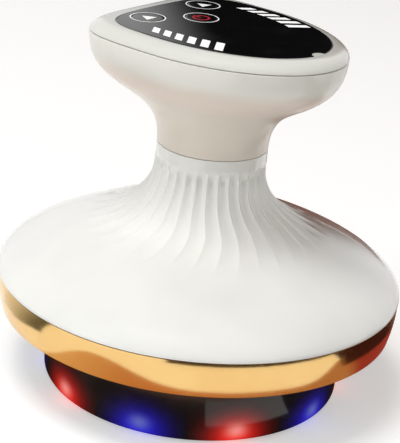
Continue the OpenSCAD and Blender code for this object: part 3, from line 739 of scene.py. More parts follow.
@dataclass(frozen=True)
class Film(Finish):
    """Thin printed or etched film: stripes under a gloss skin."""

    colour: Colour
    stripe: Colour
    pitch: float
    metal: float = 0.0

    def shade(self, graph: Graph) -> bpy.types.Node:
        """Runs the stripes aslant across the film.

        Args:
            graph: The material's nodes.

        Returns:
            The shader.
        """
        x, y, _ = graph.axes()
        wave = ((x + y) * (1 / self.pitch)).math("PINGPONG", 1.0).within(0.4, 0.55)
        cloud = graph.noise(2.5, 4.0)
        return graph.principled(
            Base_Color=graph.blend(0.75 * wave + 0.2 * cloud, self.colour, self.stripe),
            Metallic=self.metal,
            Roughness=0.28 + 0.2 * cloud,
            Normal=graph.relief(wave + 0.4 * cloud, 0.01))


@dataclass(frozen=True)
class Lead(Finish):
    """Insulated wire: one lead of a pair is red and the other black.

    Low down the pairs part at an x, and over a height they part at x = y.
    """

    red: Colour
    black: Colour
    part_x: float = -14.35
    part_z: float = 22.5
    soft: float = 0.1

    def shade(self, graph: Graph) -> bpy.types.Node:
        """Gives the leads on each side of a line through both pairs their own colour.

        Args:
            graph: The material's nodes.

        Returns:
            The shader.
        """
        x, y, z = graph.axes()
        first = (x - self.part_x).within(-self.soft, self.soft)
        second = (y - x).within(-self.soft, self.soft)
        upper = (z - self.part_z).within(-self.soft, self.soft)
        share = upper * second + (1 - upper) * first
        grain = graph.noise(0.5, 3.0)
        return graph.principled(
            Base_Color=graph.blend(share, self.red, self.black),
            Roughness=0.35 + 0.15 * grain,
            Coat_Weight=0.2, Coat_Roughness=0.2,
            Normal=graph.relief(grain, 0.01))


def profile(*parts: Points) -> Points:
    """Joins runs of (radius, height) points into one outline.

    Args:
        parts: Arrays or lists of points.

    Returns:
        All the points in order.
    """
    return np.concatenate([np.asarray(part, float).reshape(-1, 2) for part in parts])


def bezier(corners: Sequence[Sequence[float]], t: np.ndarray) -> Points:
    """A cubic curve.

    Formula: (1-t)^3 a + 3 (1-t)^2 t b + 3 (1-t) t^2 c + t^3 d.

    Args:
        corners: Its four control points.
        t: Where it is sampled, from 0 to 1.

    Returns:
        The points on it.
    """
    a, b, c, d = (np.asarray(p, float) for p in corners)
    t = np.asarray(t, float)[:, None]
    return (1 - t) ** 3 * a + 3 * (1 - t) ** 2 * t * b + 3 * (1 - t) * t ** 2 * c + t ** 3 * d


def arc(centre: Sequence[float], radius: float, start: float, end: float, steps: int) -> Points:
    """Part of a circle, for rounding an edge.

    Args:
        centre: Its middle.
        radius: Its radius.
        start: First angle in degrees.
        end: Last angle in degrees.
        steps: How many pieces it has.

    Returns:
        The points on it.
    """
    a = np.radians(np.linspace(start, end, steps + 1))
    return np.column_stack([centre[0] + radius * np.cos(a), centre[1] + radius * np.sin(a)])


def circle(sides: int) -> Points:
    """Points (cos a, sin a) at equal angles round a circle of radius 1, from +X on."""
    a = 2 * np.pi * np.arange(sides) / sides
    return np.column_stack([np.cos(a), np.sin(a)])


def smooth(x: np.ndarray) -> np.ndarray:
    """A smooth step: 3 x^2 - 2 x^3 with x kept from 0 to 1."""
    x = np.clip(x, 0, 1)
    return x * x * (3 - 2 * x)


def ring_faces(rings: int, sides: int, closed: bool = True) -> np.ndarray:
    """Four-sided faces between neighbouring rings of points.

    Args:
        rings: Number of rings.
        sides: Number of points in a ring.
        closed: Whether the last ring joins the first.

    Returns:
        The faces' corner numbers.
    """
    k, j = np.meshgrid(np.arange(rings if closed else rings - 1), np.arange(sides), indexing="ij")
    k2 = (k + 1) % rings
    j2 = (j + 1) % sides
    corners = [k * sides + j, k * sides + j2, k2 * sides + j2, k2 * sides + j]
    return np.stack(corners, axis=-1).reshape(-1, 4)


def fan(tip: int, first: int, sides: int) -> list[list[int]]:
    """Three-sided faces from a ring of points to a tip, for a ring that lies under it.

    Args:
        tip: The tip's number.
        first: Number of the ring's first point.
        sides: Number of points in the ring.

    Returns:
        The faces' corner numbers.
    """
    return [[tip, first + i, first + (i + 1) % sides] for i in range(sides)]


def soften(mesh: bpy.types.Mesh, sharp: float) -> None:
    """Shades a mesh smooth, apart from edges that bend by more than an angle in degrees."""
    mesh.polygons.foreach_set("use_smooth", np.ones(len(mesh.polygons), bool))
    mesh.set_sharp_from_angle(angle=math.radians(sharp))


def add_piece(name: str, points: Points, faces: Sequence[Sequence[int]],
              sharp: float = 35.0) -> bpy.types.Object:
    """Makes a mesh object whose shape is in its mesh.

    Args:
        name: The piece's name.
        points: Its corners in millimetres.
        faces: Corner numbers of its faces.
        sharp: Angle in degrees over which an edge shows as a crease.

    Returns:
        The object.
    """
    mesh = bpy.data.meshes.new(name)
    mesh.from_pydata((np.asarray(points, float).reshape(-1, 3) * MM).tolist(), [], faces)
    soften(mesh, sharp)
    made = bpy.data.objects.new(name, mesh)
    bpy.context.scene.collection.objects.link(made)
    return made


def add_rings(name: str, rings: Points, sharp: float = 35.0) -> bpy.types.Object:
    """Makes a piece of rings of points, the last of which joins the first."""
    return add_piece(name, rings, ring_faces(*rings.shape[:2]), sharp)


def raised(across: Points, heights: np.ndarray) -> Points:
    """Gives rings of (x, y) points a height for each ring."""
    levels = np.broadcast_to(np.reshape(heights, (-1, 1, 1)), (*across.shape[:2], 1))
    return np.concatenate([across, levels], axis=-1)


def lathe(section: Points, sides: int) -> Points:
    """Turns a closed outline about the Z axis.

    Formula: (r cos a, r sin a, z) for each outline point and each angle a.

    Args:
        section: (radius, height) points.
        sides: How many angles.

    Returns:
        Rings of points, one ring for each outline point.
    """
    return raised(section[:, :1, None] * circle(sides), section[:, 1])


def outward(obj: bpy.types.Object) -> None:
    """Turns a closed mesh's faces outwards where its volume comes out negative.

    Formula: six times the volume is the sum of a . (b x c) over triangles a, b, c.

    Args:
        obj: The mesh object.
    """
    mesh = obj.data
    mesh.calc_loop_triangles()
    corner = np.empty(len(mesh.vertices) * 3)
    mesh.vertices.foreach_get("co", corner)
    corner = corner.reshape(-1, 3)
    index = np.empty(len(mesh.loop_triangles) * 3, int)
    mesh.loop_triangles.foreach_get("vertices", index)
    a, b, c = (corner[index.reshape(-1, 3)[:, i]] for i in range(3))
    if np.einsum("ij,ij->i", a, np.cross(b, c)).sum() < 0:
        mesh.flip_normals()


def apply_cut(obj: bpy.types.Object, cutter: bpy.types.Object, sharp: float = 35.0) -> None:
    """Cuts one closed mesh out of another and removes the cutter.

    Args:
        obj: The mesh that is cut.
        cutter: What is taken away.
        sharp: Angle in degrees over which an edge shows as a crease.
    """
    cut = obj.modifiers.new("cut", "BOOLEAN")
    cut.operation = "DIFFERENCE"
    cut.solver = "EXACT"
    cut.object = cutter
    depsgraph = bpy.context.evaluated_depsgraph_get()
    mesh = bpy.data.meshes.new_from_object(obj.evaluated_get(depsgraph))
    obj.modifiers.clear()
    obj.data = mesh
    soften(mesh, sharp)
    bpy.data.objects.remove(cutter)


def prism(outline: Points, low: float, high: float) -> tuple[Points, list[list[int]]]:
    """An upright prism.

    Args:
        outline: Its (x, y) corners, anticlockwise.
        low: Height of its foot.
        high: Height of its top.

    Returns:
        Its points and faces.
    """
    n = len(outline)
    flat = [np.column_stack([outline, np.full(n, z)]) for z in (low, high)]
    faces = [list(range(n))[::-1], [n + i for i in range(n)]]
    faces += ring_faces(2, n, closed=False).tolist()
    return np.concatenate(flat), faces


def join_parts(parts: Sequence[tuple[Points, Sequence[Sequence[int]]]]) -> tuple[Points, list]:
    """Puts several meshes into one.

    Args:
        parts: Points and faces of each.

    Returns:
        All the points and faces.
    """
    points = []
    faces = []
    start = 0
    for part_points, part_faces in parts:
        points.append(part_points)
        faces += [[int(i) + start for i in face] for face in part_faces]
        start += len(part_points)
    return np.concatenate(points), faces


def dress(piece: bpy.types.Object, material: bpy.types.Material, body: str,
          node: str) -> None:
    """Gives a new piece its finish, its body and the CAD node that it stands for.

    Args:
        piece: The new piece.
        material: Its finish.
        body: The CAD body that it rides on.
        node: The CAD node that it replaces.
    """
    outward(piece)
    cover(piece, material)
    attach(piece, body)
    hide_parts(node)
    log.info("%s: %d faces on %s", piece.name, len(piece.data.polygons), body)


@dataclass
class Levels:
    """Heights that the sub-assemblies share, in millimetres."""

    ring_low: float = 16.9
    ring_high: float = 25.0
    neck: float = 56.1
    head: float = 79.7
    panel: float = 82.3
    panel_low: float = 80.8


@dataclass
class Egg:
    """The head's outline: an ellipse in front of its widest line, a squarer curve behind it."""

    half: float = 19.3
    front: float = 27.3
    rear: float = 16.6
    shift: float = 2.3
    rear_gain: float = 1.6 / 3.8
    front_power: float = 2.0
    rear_power: float = 4.0

    def outline(self, offset: float, sides: int) -> Points:
        """Points on the outline.

        Formula: k = (|sin a|^n + |cos a|^n)^(-1/n) with n = 2 in front and 4 behind; x is half
        the width times cos a times k, and y is the front or rear length times sin a times k.

        Args:
            offset: How far outside the panel's edge, in millimetres.
            sides: How many points.

        Returns:
            The (x, y) points.
        """
        c, s = circle(sides).T
        n = np.where(s < 0, self.front_power, self.rear_power)
        behind = self.rear + offset + max(0.0, offset) * self.rear_gain
        length = np.where(s < 0, self.front + offset, behind)
        k = (np.abs(s) ** n + np.abs(c) ** n) ** (-1 / n)
        return np.column_stack([(self.half + offset) * c * k, length * s * k + self.shift])

    def half_width(self, forward: float) -> float:
        """Half the panel's width at a distance in front of the neck's axis.

        Formula: half times (1 - (u / length)^n)^(1/n), with the length and n of that side.

        Args:
            forward: The distance in front of the axis.

        Returns:
            Half the width.
        """
        u = forward + self.shift
        length, n = (self.front, self.front_power) if u > 0 else (self.rear, self.rear_power)
        return self.half * (1 - (abs(u) / length) ** n) ** (1 / n)


@dataclass
class Dome:
    """White dome with pleats round its neck.

    rim and collar are the control points of its outer curves, over the trim ring; tongue is
    the plug in the handle, from the neck's height; foot is the rebate on the base frame.
    """

    levels: Levels
    neck_r: float = 12.2
    neck_low: float = 52.4
    neck_edge: float = 0.16
    pleats: int = 33
    columns: int = 16
    depth: float = 0.75
    crest: float = 0.75
    end_r: float = 27.0
    fade_out: tuple[float, float] = (1.0, 5.0)
    fade_in: tuple[float, float] = (2.2, 3.0)
    twist: tuple[float, float] = (2.5, -6.5)
    twist_run: float = 6.0
    rim: Outline = ((45.0, 0.3), (45.0, 3.8), (35.0209, 8.0709), (26.0, 11.9))
    collar: Outline = ((26.0, 11.9), (19.0042, 14.8696), (12.2, 19.0), (12.2, 27.0))
    tongue: Outline = ((10.4, 0.0), (10.4, 2.9), (9.4, 2.9), (9.4, -2.9))
    foot: Outline = ((41.6, 26.9), (41.6, 24.45), (43.15, 24.45), (43.15, 25.3))
    wall: float = 1.8
    posts: int = 6
    post_ring: float = 37.5
    post: Outline = ((2.8, 20.3), (2.8, 29.4), (1.15, 29.4), (1.15, 20.3))
    post_sides: int = 32

    def build(self, finish: bpy.types.Material) -> None:
        """Makes the shell and its screw posts and dresses them.

        Args:
            finish: The dome's material.
        """
        shell = self._shell()
        parts = [(shell.reshape(-1, 3), ring_faces(*shell.shape[:2]))]
        post = lathe(profile(self.post), self.post_sides)
        for x, y in self.post_ring * circle(self.posts):
            parts.append(((post + [x, y, 0.0]).reshape(-1, 3), ring_faces(*post.shape[:2])))
        piece = add_piece("dome", *join_parts(parts), sharp=38.0)
        dress(piece, finish, BODY, "dome_shell")

    def _shell(self) -> Points:
        """Rings of points from the rim up the outside, over the tongue and down the inside.

        Returns:
            The rings.
        """
        base = [0.0, self.levels.ring_high]
        neck = self.levels.neck
        bead = self.neck_edge
        up = profile(bezier(self.rim, np.linspace(0, 1, 30)[:-1]),
                     bezier(self.collar, np.linspace(0, 1, 46))) + base
        top = np.column_stack([np.full(8, self.neck_r), np.linspace(self.neck_low, neck - 0.2, 8)])
        edge = arc((self.neck_r - bead, neck - bead), bead, 0, 90, 4)
        outside = profile(up, top, edge)
        inner = profile(self._inset(self.collar, np.linspace(0.8, 0.05, 12)),
                        self._inset(self.rim, np.linspace(0.95, 0.35, 10))) + base
        plain = profile(np.array(self.tongue) + [0.0, neck], inner, self.foot)
        fade = np.concatenate([self._fade(outside), np.zeros(len(plain))])
        return self._turned(profile(outside, plain), fade)

    def _inset(self, curve: Outline, t: np.ndarray) -> Points:
        """The curve moved inwards by the wall, along its normal.

        Args:
            curve: Its four control points.
            t: Where it is sampled.

        Returns:
            The points.
        """
        step = 1e-4
        run = bezier(curve, t + step) - bezier(curve, t - step)
        normal = np.column_stack([run[:, 1], -run[:, 0]]) / np.linalg.norm(run, axis=1)[:, None]
        return bezier(curve, t) - self.wall * normal

    def _fade(self, section: Points) -> np.ndarray:
        """How deep the pleats are along the outline: full on the collar, none at both ends.

        Args:
            section: (radius, height) points.

        Returns:
            A share for each, from 0 to 1.
        """
        out, out_run = self.fade_out
        top, top_run = self.fade_in
        low = smooth((self.end_r + out - section[:, 0]) / out_run)
        return low * smooth((self.levels.neck - top - section[:, 1]) / top_run)

    def _turned(self, section: Points, fade: np.ndarray) -> Points:
        """Turns the outline round the axis with its pleats.

        Formula: the radius is r - depth * fade * (1 - (2 u - 1)^2), where u runs from 0 to 1
        between a pleat's two crests, so that each pleat is a hollow flute with crisp crests;
        the angle of a column gains a twist that grows with r.

        Args:
            section: (radius, height) points.
            fade: Depth of the pleats at each, from 0 to 1.

        Returns:
            Rings of points.
        """
        count = self.pleats * self.columns
        u = (np.arange(count) / self.columns - self.crest) % 1.0
        flute = 1 - (2 * u - 1) ** 2
        out = np.minimum(section[:, 0], self.end_r) - self.neck_r
        past = np.maximum(0, out - self.twist_run) / (self.end_r - self.neck_r - self.twist_run)
        turn = self.twist[0] * smooth(out / self.twist_run) + self.twist[1] * past ** 1.5
        a = np.radians(360 * np.arange(count) / count + turn[:, None])
        r = section[:, :1] - self.depth * fade[:, None] * flute
        z = np.broadcast_to(section[:, 1:], a.shape)
        return np.stack([r * np.cos(a), r * np.sin(a), z], axis=-1)


@dataclass
class Head:
    """Waisted handle, bezel, touch panel and keys.

    port is the width, height and level of the charging port's slot, slot_y is how far it is
    cut; bezel_back and key_back are outlines under the face; bar_length grows along a row.
    """

    levels: Levels
    egg: Egg
    sides: int = 192
    neck_r: float = 12.2
    bore_r: float = 10.5
    rim: float = 3.8
    wall: float = 2.0
    chamfer: float = 0.12
    waist: tuple[float, float, float] = (0.15, 14.2, 13.4)
    rebate: float = 76.65
    bore_top: float = 12 / 14
    port: tuple[float, float, float] = (9.45, 3.7, 62.75)
    slot_y: tuple[float, float] = (9.5, 16.2)
    seam: float = 0.15
    bezel_sides: int = 256
    bezel_in: float = 0.1
    bezel_back: Outline = ((0.1, 80.75), (-1.3, 80.75), (-1.3, 79.75), (0.65, 79.75),
                           (0.65, 76.95), (1.65, 76.95))
    crown: float = 0.4
    crown_r: float = 22.0
    edge_drop: float = 0.09
    lens_r: float = 1.8
    bars: int = 6
    bar_start: float = -5.8
    bar_pitch: float = 3.05
    bar_inset: float = 3.8
    bar_half: float = 0.95
    bar_lean: float = 32.0
    bar_length: tuple[float, float] = (3.6, 0.32)
    keys: Mapping[str, tuple[float, float]] = field(default_factory=lambda: {
        "power": (0.0, 6.3), "suction": (-9.4, 13.3), "heat": (9.4, 13.3)})
    key_r: float = 3.4
    key_gap: float = 0.08
    key_sides: int = 96
    key_round: float = 0.14
    key_sink: float = 0.02
    key_back: Outline = ((3.4, 80.7), (3.85, 80.7), (3.85, 79.9), (1.3, 79.9), (1.3, 78.9))

    def build(self, finishes: "Finishes") -> None:
        """Makes and dresses the head's outer pieces.

        Args:
            finishes: All the finishes.
        """
        self._handle(finishes.handle)
        self._bezel(finishes.bezel)
        self._panel(finishes.panel)
        for name, at in self.keys.items():
            self._key(name, at, finishes.key(name, at))

    def _loft(self, t: np.ndarray, radius: float, offset: float) -> Points:
        """Rings of the handle between the neck's circle and the head's egg.

        Formula: with u = t^2 (3 - 2 t), a point is (1 - u) times the circle's plus u times
        the egg's, at the height of a cubic curve in t.

        Args:
            t: Where each ring is, from 0 at the neck to 1 at the head.
            radius: The circle's radius.
            offset: How far the last ring is outside the panel's edge.

        Returns:
            The rings.
        """
        u = smooth(t)[:, None, None]
        across = (1 - u) * radius * circle(self.sides) + u * self.egg.outline(offset, self.sides)
        low, lower, upper = self.waist
        neck, head = self.levels.neck, self.levels.head
        return raised(across, bezier([[neck + low], [neck + lower], [head - upper], [head]], t))

    def _flat_ring(self, offset: float, height: float, sides: int) -> Points:
        """One ring at the egg's outline."""
        egg = self.egg.outline(offset, sides)
        return np.column_stack([egg, np.full(sides, height)])[None]

    def _handle(self, finish: bpy.types.Material) -> None:
        """Loft from the neck to the head, with a slot for the charging port.

        Args:
            finish: The handle's material.
        """
        head = self.levels.head
        outer = self._loft(np.linspace(0, 1, 64), self.neck_r, self.rim)
        lip = outer[:1].copy()
        lip[..., :2] *= 1 - self.chamfer / self.neck_r
        outer[0, :, 2] += self.chamfer
        outer[-1, :, 2] -= self.chamfer
        brim = self._flat_ring(self.rim - self.chamfer, head, self.sides)
        inside = self.rim - self.wall
        socket = [self._flat_ring(inside, z, self.sides) for z in (head, self.rebate)]
        inner = self._loft(np.linspace(self.bore_top, 0, 20), self.bore_r, inside)
        piece = add_rings("handle", np.concatenate([lip, outer, brim, *socket, inner]))
        outward(piece)
        cutter = self._slot_cutter()
        outward(cutter)
        apply_cut(piece, cutter)
        dress(piece, finish, BODY, "handle_shell")

    def _slot_cutter(self) -> bpy.types.Object:
        """A bar with round ends that lies along Y and cuts the slot.

        Returns:
            The bar.
        """
        width, height, middle = self.port
        end = arc(((width - height) / 2, 0.0), height / 2, -90, 90, 12)
        points, faces = prism(np.concatenate([end, -end]), *self.slot_y)
        points = np.column_stack([-points[:, 0], points[:, 2], points[:, 1] + middle])
        return add_piece("cutter", points, faces)

    def _bezel(self, finish: bpy.types.Material) -> None:
        """Rounded frame round the panel: one section carried round the egg.

        Args:
            finish: The bezel's material.
        """
        foot = self.levels.head + self.seam
        top = self.levels.panel - 0.05
        a = np.radians(np.linspace(0, 90, 22))
        crest = np.column_stack([self.bezel_in + (self.rim - self.bezel_in) * np.cos(a),
                                 foot + (top - foot) * np.sin(a)])
        crest[0] += (0.0, 0.1)
        section = profile([(self.rim - self.chamfer, foot)], crest, self.bezel_back,
                          [(self.bezel_back[-1][0], foot)])
        rings = np.concatenate([self._flat_ring(o, z, self.bezel_sides) for o, z in section])
        dress(add_rings("bezel", rings), finish, BODY, "top_bezel")

    def _crown_z(self, x: np.ndarray, y: np.ndarray) -> np.ndarray:
        """Height of the panel's crowned face: its level plus crown times 1 - (r / crown_r)^2."""
        return self.levels.panel + self.crown * (1 - (x * x + y * y) / self.crown_r ** 2)

    def _panel(self, finish: bpy.types.Material) -> None:
        """Crowned plate with holes for keys, light bars and the status light.

        Args:
            finish: The panel's material.
        """
        sides = self.sides
        edge = self.egg.outline(0.0, sides)
        middle = np.array([0.0, self.egg.shift])
        shares = np.concatenate([np.linspace(0.08, 0.96, 16), [0.985, 0.995]])
        tops = [middle + s * (edge - middle) for s in shares]
        top_rings = [np.column_stack([p, self._crown_z(*p.T)]) for p in tops]
        rim = np.column_stack([edge, self._crown_z(*edge.T) - self.edge_drop])
        low = np.column_stack([edge, np.full(sides, self.levels.panel_low)])
        rings = np.stack([*top_rings, rim, low])
        peak = np.array([[*middle, float(self._crown_z(*middle))]])
        points = np.concatenate([rings.reshape(-1, 3), peak])
        base = (len(rings) - 1) * sides
        faces = ring_faces(len(rings), sides, closed=False).tolist()
        faces += fan(len(points) - 1, 0, sides)
        faces.append([base + i for i in range(sides)][::-1])
        piece = add_piece("touch_face", points, faces)
        outward(piece)
        apply_cut(piece, add_piece("cutter", *join_parts(self._holes())))
        dress(piece, finish, BODY, "touch_panel")

    def _holes(self) -> list[tuple[Points, list[list[int]]]]:
        """Prisms that cut the panel's holes.

        Returns:
            Points and faces of each.
        """
        ring = circle(self.key_sides)
        holes = [ring * (self.key_r + self.key_gap) + at for at in self.keys.values()]
        holes.append(ring * self.lens_r + (0.0, self.egg.shift - self.egg.front))
        holes += [self._bar(side, i) for side in (1, -1) for i in range(self.bars)]
        return [prism(hole, self.levels.panel_low - 1, self.levels.panel + 3) for hole in holes]

    def _bar(self, side: int, i: int) -> Points:
        """Corners of a light bar's hole: a leaning bar that follows the panel's edge.

        Args:
            side: 1 for the row at +X, -1 for the other.
            i: Its number from the blunt end.

        Returns:
            The corners, anticlockwise.
        """
        forward = self.bar_start + self.bar_pitch * i
        gain = self.egg.half_width(forward + 0.5) - self.egg.half_width(forward - 0.5)
        across = np.array([gain, -1.0]) / math.hypot(gain, 1.0) * self.bar_half
        lean = math.radians(self.bar_lean)
        length, growth = self.bar_length
        along = np.array([math.cos(lean), -math.sin(lean)]) * (length + growth * i) / 2
        centre = np.array([self.egg.half_width(forward) - self.bar_inset, -forward])
        corners = centre + [-along - across, along - across, along + across, across - along]
        corners[:, 0] *= side
        area = np.cross(corners[1] - corners[0], corners[2] - corners[1])
        return corners if area > 0 else corners[::-1]

    def _key(self, name: str, at: tuple[float, float], finish: bpy.types.Material) -> None:
        """A cap that follows the crown, on its flange and post.

        Formula: rings of growing radius whose height is the crown's less the sink, falling
        off along a quarter circle at the edge; the flange and post are rings below them.

        Args:
            name: The key's name.
            at: Its middle.
            finish: Its material.
        """
        sides = self.key_sides
        inner = self.key_r - self.key_round
        fall = np.radians(np.linspace(0, 90, 6))
        radii = np.concatenate([np.linspace(0.3, inner, 12)[:-1],
                                inner + self.key_round * np.sin(fall)])
        drop = np.concatenate([np.zeros(11), self.key_round * (1 - np.cos(fall))])
        cos, sin = circle(sides).T
        x = at[0] + radii[:, None] * cos
        y = at[1] + radii[:, None] * sin
        tops = np.stack([x, y, self._crown_z(x, y) - self.key_sink - drop[:, None]], axis=-1)
        rings = np.concatenate([tops, lathe(profile(self.key_back), sides) + [*at, 0.0]])
        peak_z = float(self._crown_z(*np.array(at))) - self.key_sink
        ends = [[*at, peak_z], [*at, self.key_back[-1][1]]]
        points = np.concatenate([rings.reshape(-1, 3), ends])
        faces = ring_faces(len(rings), sides, closed=False).tolist()
        faces += fan(len(points) - 2, 0, sides)
        last = (len(rings) - 1) * sides
        faces += [face[::-1] for face in fan(len(points) - 1, last, sides)]
        piece = add_piece(f"{name}_cap", points, faces)
        dress(piece, finish, f"{name}_button", f"{name}_key")


@dataclass
class Base:
    """Plated trim ring and lit skirt.

    draw is how far the ring draws in below and above; ring_back and skirt_back are the
    outlines of the sides that are not seen.
    """

    levels: Levels
    sides: int = 256
    sharp: float = 38.0
    ring_r: float = 44.95
    draw: tuple[float, float] = (1.0, 0.15)
    band: tuple[float, float] = (0.2, 7.9)
    ring_in: float = 43.3
    ring_edge: float = 0.25
    ring_back: Outline = ((43.3, 25.0), (43.3, 24.4), (40.6, 24.4), (40.6, 23.1), (43.3, 23.1))
    skirt_in: float = 31.2
    skirt_low: float = 0.3
    skirt_edge: float = 1.8
    skirt_back: Outline = ((33.5, 6.0), (33.5, 10.0), (33.5, 14.0), (33.5, 17.9), (34.9, 17.9),
                           (34.9, 18.95), (31.2, 18.95))

    def build(self, finishes: "Finishes") -> None:
        """Makes and dresses both.

        Args:
            finishes: All the finishes.
        """
        ring = add_rings("trim_band", lathe(self._ring(), self.sides), self.sharp)
        dress(ring, finishes.gold, BODY, "trim_ring")
        skirt = add_rings("glow_skirt", lathe(self._skirt(), self.sides), self.sharp)
        dress(skirt, finishes.smoked, BODY, "light_skirt")

    def _ring(self) -> Points:
        """Band that draws in towards its lower edge.

        Formula: r = ring_r - below (1 - u)^2 - above u^6, with u from 0 at its foot to 1.

        Returns:
            Its outline.
        """
        u = np.linspace(0, 1, 24)
        low = self.levels.ring_low
        below, above = self.draw
        start, height = self.band
        band = np.column_stack([self.ring_r - below * (1 - u) ** 2 - above * u ** 6,
                                low + start + height * u])
        bead = self.ring_edge
        edge = arc((self.ring_in + bead, low + bead), bead, -90, -20, 4)
        return profile([(self.ring_in, low)], edge, band, self.ring_back)

    def _skirt(self) -> Points:
        """Straight wall with a rounded lower edge and a flange inside the base.

        Returns:
            Its outline.
        """
        middle = (self.skirt_back[0][0] - self.skirt_edge, self.skirt_low + self.skirt_edge)
        edge = arc(middle, self.skirt_edge, -90, 0, 12)
        return profile([(self.skirt_in, self.skirt_low)], edge, self.skirt_back)


class Finishes:
    """All the finishes, each made once."""

    BLACK = tone(14, 14, 15)
    INK = tone(245, 245, 245)
    POWER_INK = tone(178, 24, 38)

    def __init__(self, head: Head) -> None:
        """Makes the finishes that several pieces share.

        Args:
            head: The head, whose keys have rings printed round them.
        """
        self.white = Moulded("white_gloss", tone(247, 247, 243), 0.16, 0.7).build()
        self.bezel = Moulded("bezel_gloss", tone(229, 229, 222), 0.16, 0.7).build()
        self.gold = Plated("gold_plating", (0.86, 0.58, 0.24), (0.78, 0.46, 0.16)).build()
        # The handle's colours are partly painted shade, darker low down and paler near the head,
        # with a painted warm reflection between.
        self.handle = PaintedShadeTone("handle_gloss", tone(232, 222, 210), tone(234, 212, 198),
                              tone(240, 239, 231), (67.0, 76.0)).build()
        self.smoked = SmokedGlow(
            "smoked_glow", tone(30, 24, 22), lights=(tone(242, 34, 26), tone(34, 26, 205)),
            cores=(tone(255, 185, 175), tone(120, 130, 170)), lamps=10, turn=20.0,
            skirt_r=33.5).build()
        self.panel = GlossPanel("panel_gloss", self.BLACK, self.INK,
                                tuple(head.keys.values())).build()
        slots = {
            "inner_black": Moulded("matt_black", tone(44, 44, 46), 0.45, 0.0, 0.02, 0.1),
            "inner_white": Moulded("matt_white", tone(232, 232, 229), 0.42, 0.0, 0.02, 0.04),
            "soft_rubber": Rubber("silicone", tone(96, 96, 98)),
            "steel": Metal("brushed_steel", (0.62, 0.62, 0.63), 0.24, (1.0, 8.0, 1.0)),
            "milky_plastic": Milky("milky_light", tone(250, 250, 250), 0.35),
            "copper_film": Film("heater_foil", tone(206, 130, 70), tone(150, 84, 40), 1.2, 0.7),
            "circuit_board": Board("board_lacquer", tone(22, 92, 58)),
            "red_lamp": Milky("red_resin", tone(225, 60, 50), 1.2),
            "blue_lamp": Milky("blue_resin", tone(50, 50, 225), 1.2),
            "cell_wrap": Film("shrink_film", tone(62, 88, 150), tone(74, 100, 160), 3.0),
            "flat_cable": Film("flat_film", tone(200, 142, 60), tone(170, 112, 40), 0.5),
            "wire_cover": Lead("lead_cover", tone(190, 30, 28), tone(24, 24, 25)),
        }
        special = {
            "heat_plate": Metal("plate_steel", (0.56, 0.55, 0.54), 0.2, (6.0, 0.6, 1.0)),
            "massage_beads": Metal("bead_steel", (0.66, 0.66, 0.67), 0.12),
            "status_light": Milky("status_lens", tone(206, 205, 201), 0.0),
        }
        self.slots = {name: finish.build() for name, finish in slots.items()}
        self.special = {name: finish.build() for name, finish in special.items()}

    def key(self, name: str, at: tuple[float, float]) -> bpy.types.Material:
        """Makes the finish of a key.

        Args:
            name: The key's name.
            at: Its middle.

        Returns:
            The material.
        """
        mark = KeyMark.POWER if name == "power" else KeyMark.LEVEL
        ink = self.POWER_INK if mark is KeyMark.POWER else self.INK
        return PrintedKey(f"{name}_print", self.BLACK, ink, mark, at).build()


@dataclass
class Works:
    """The CAD nodes that keep their shape: underside, joints and everything inside."""

    spring: str = "valve_spring"
    spring_joint: str = "valve_lift"
    travel: float = 0.8

    def build(self, finishes: Finishes) -> None:
        """Gives each node its own finish or that of its slot in the record.

        Args:
            finishes: All the finishes.
        """
        slots = {row["node"]: row["material_slot"] for row in frame["record"]["subparts"]}
        for name, node in sorted(frame["nodes"].items()):
            if node.hide_render:
                continue
            material = finishes.special.get(name) or finishes.slots[slots[name]]
            cover(node, material)
            log.info("%s: %s", name, material.name)
        self._shorten_spring()

    def _shorten_spring(self) -> None:
        """Gives the valve's spring a mesh of its own."""
        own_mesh(frame["nodes"][self.spring])


@dataclass(frozen=True)
class Lamp:
    """A square soft light that faces the object: its place and side in metres, its watts."""

    name: str
    at: tuple[float, float, float]
    size: float
    power: float
    colour: Colour
    aim: tuple[float, float, float] = (0.0, 0.0, 0.04)

    def build(self) -> None:
        """Adds the light, which reflections don't show."""
        light = bpy.data.lights.new(self.name, "AREA")
        light.size = self.size
        light.energy = self.power
        light.color = self.colour
        made = bpy.data.objects.new(self.name, light)
        made.location = self.at
        made.visible_glossy = False
        ahead = Vector(self.aim) - Vector(self.at)
        made.rotation_euler = ahead.to_track_quat("-Z", "Y").to_euler()
        bpy.context.scene.collection.objects.link(made)


class Card:
    """A part of the stage that gives light and is seen in reflections alone."""

    def __init__(self, name: str, points: Points, faces: Sequence[Sequence[int]]) -> None:
        """Makes the card's mesh and its empty material.

        Args:
            name: The card's name.
            points: Its corners in millimetres.
            faces: Corner numbers of its faces.
        """
        self.piece = add_piece(name, points, faces)
        self.material, self.graph = new_material(name)

    def finish(self, colour: object) -> None:
        """Lights the card in a colour and hides it from all but reflections.

        Args:
            colour: A colour, or a socket with one.
        """
        self.graph.output(self.graph.emission(colour))
        cover(self.piece, self.material)
        self.piece.visible_camera = False
        self.piece.visible_diffuse = False
        self.piece.visible_transmission = False
        self.piece.visible_shadow = False


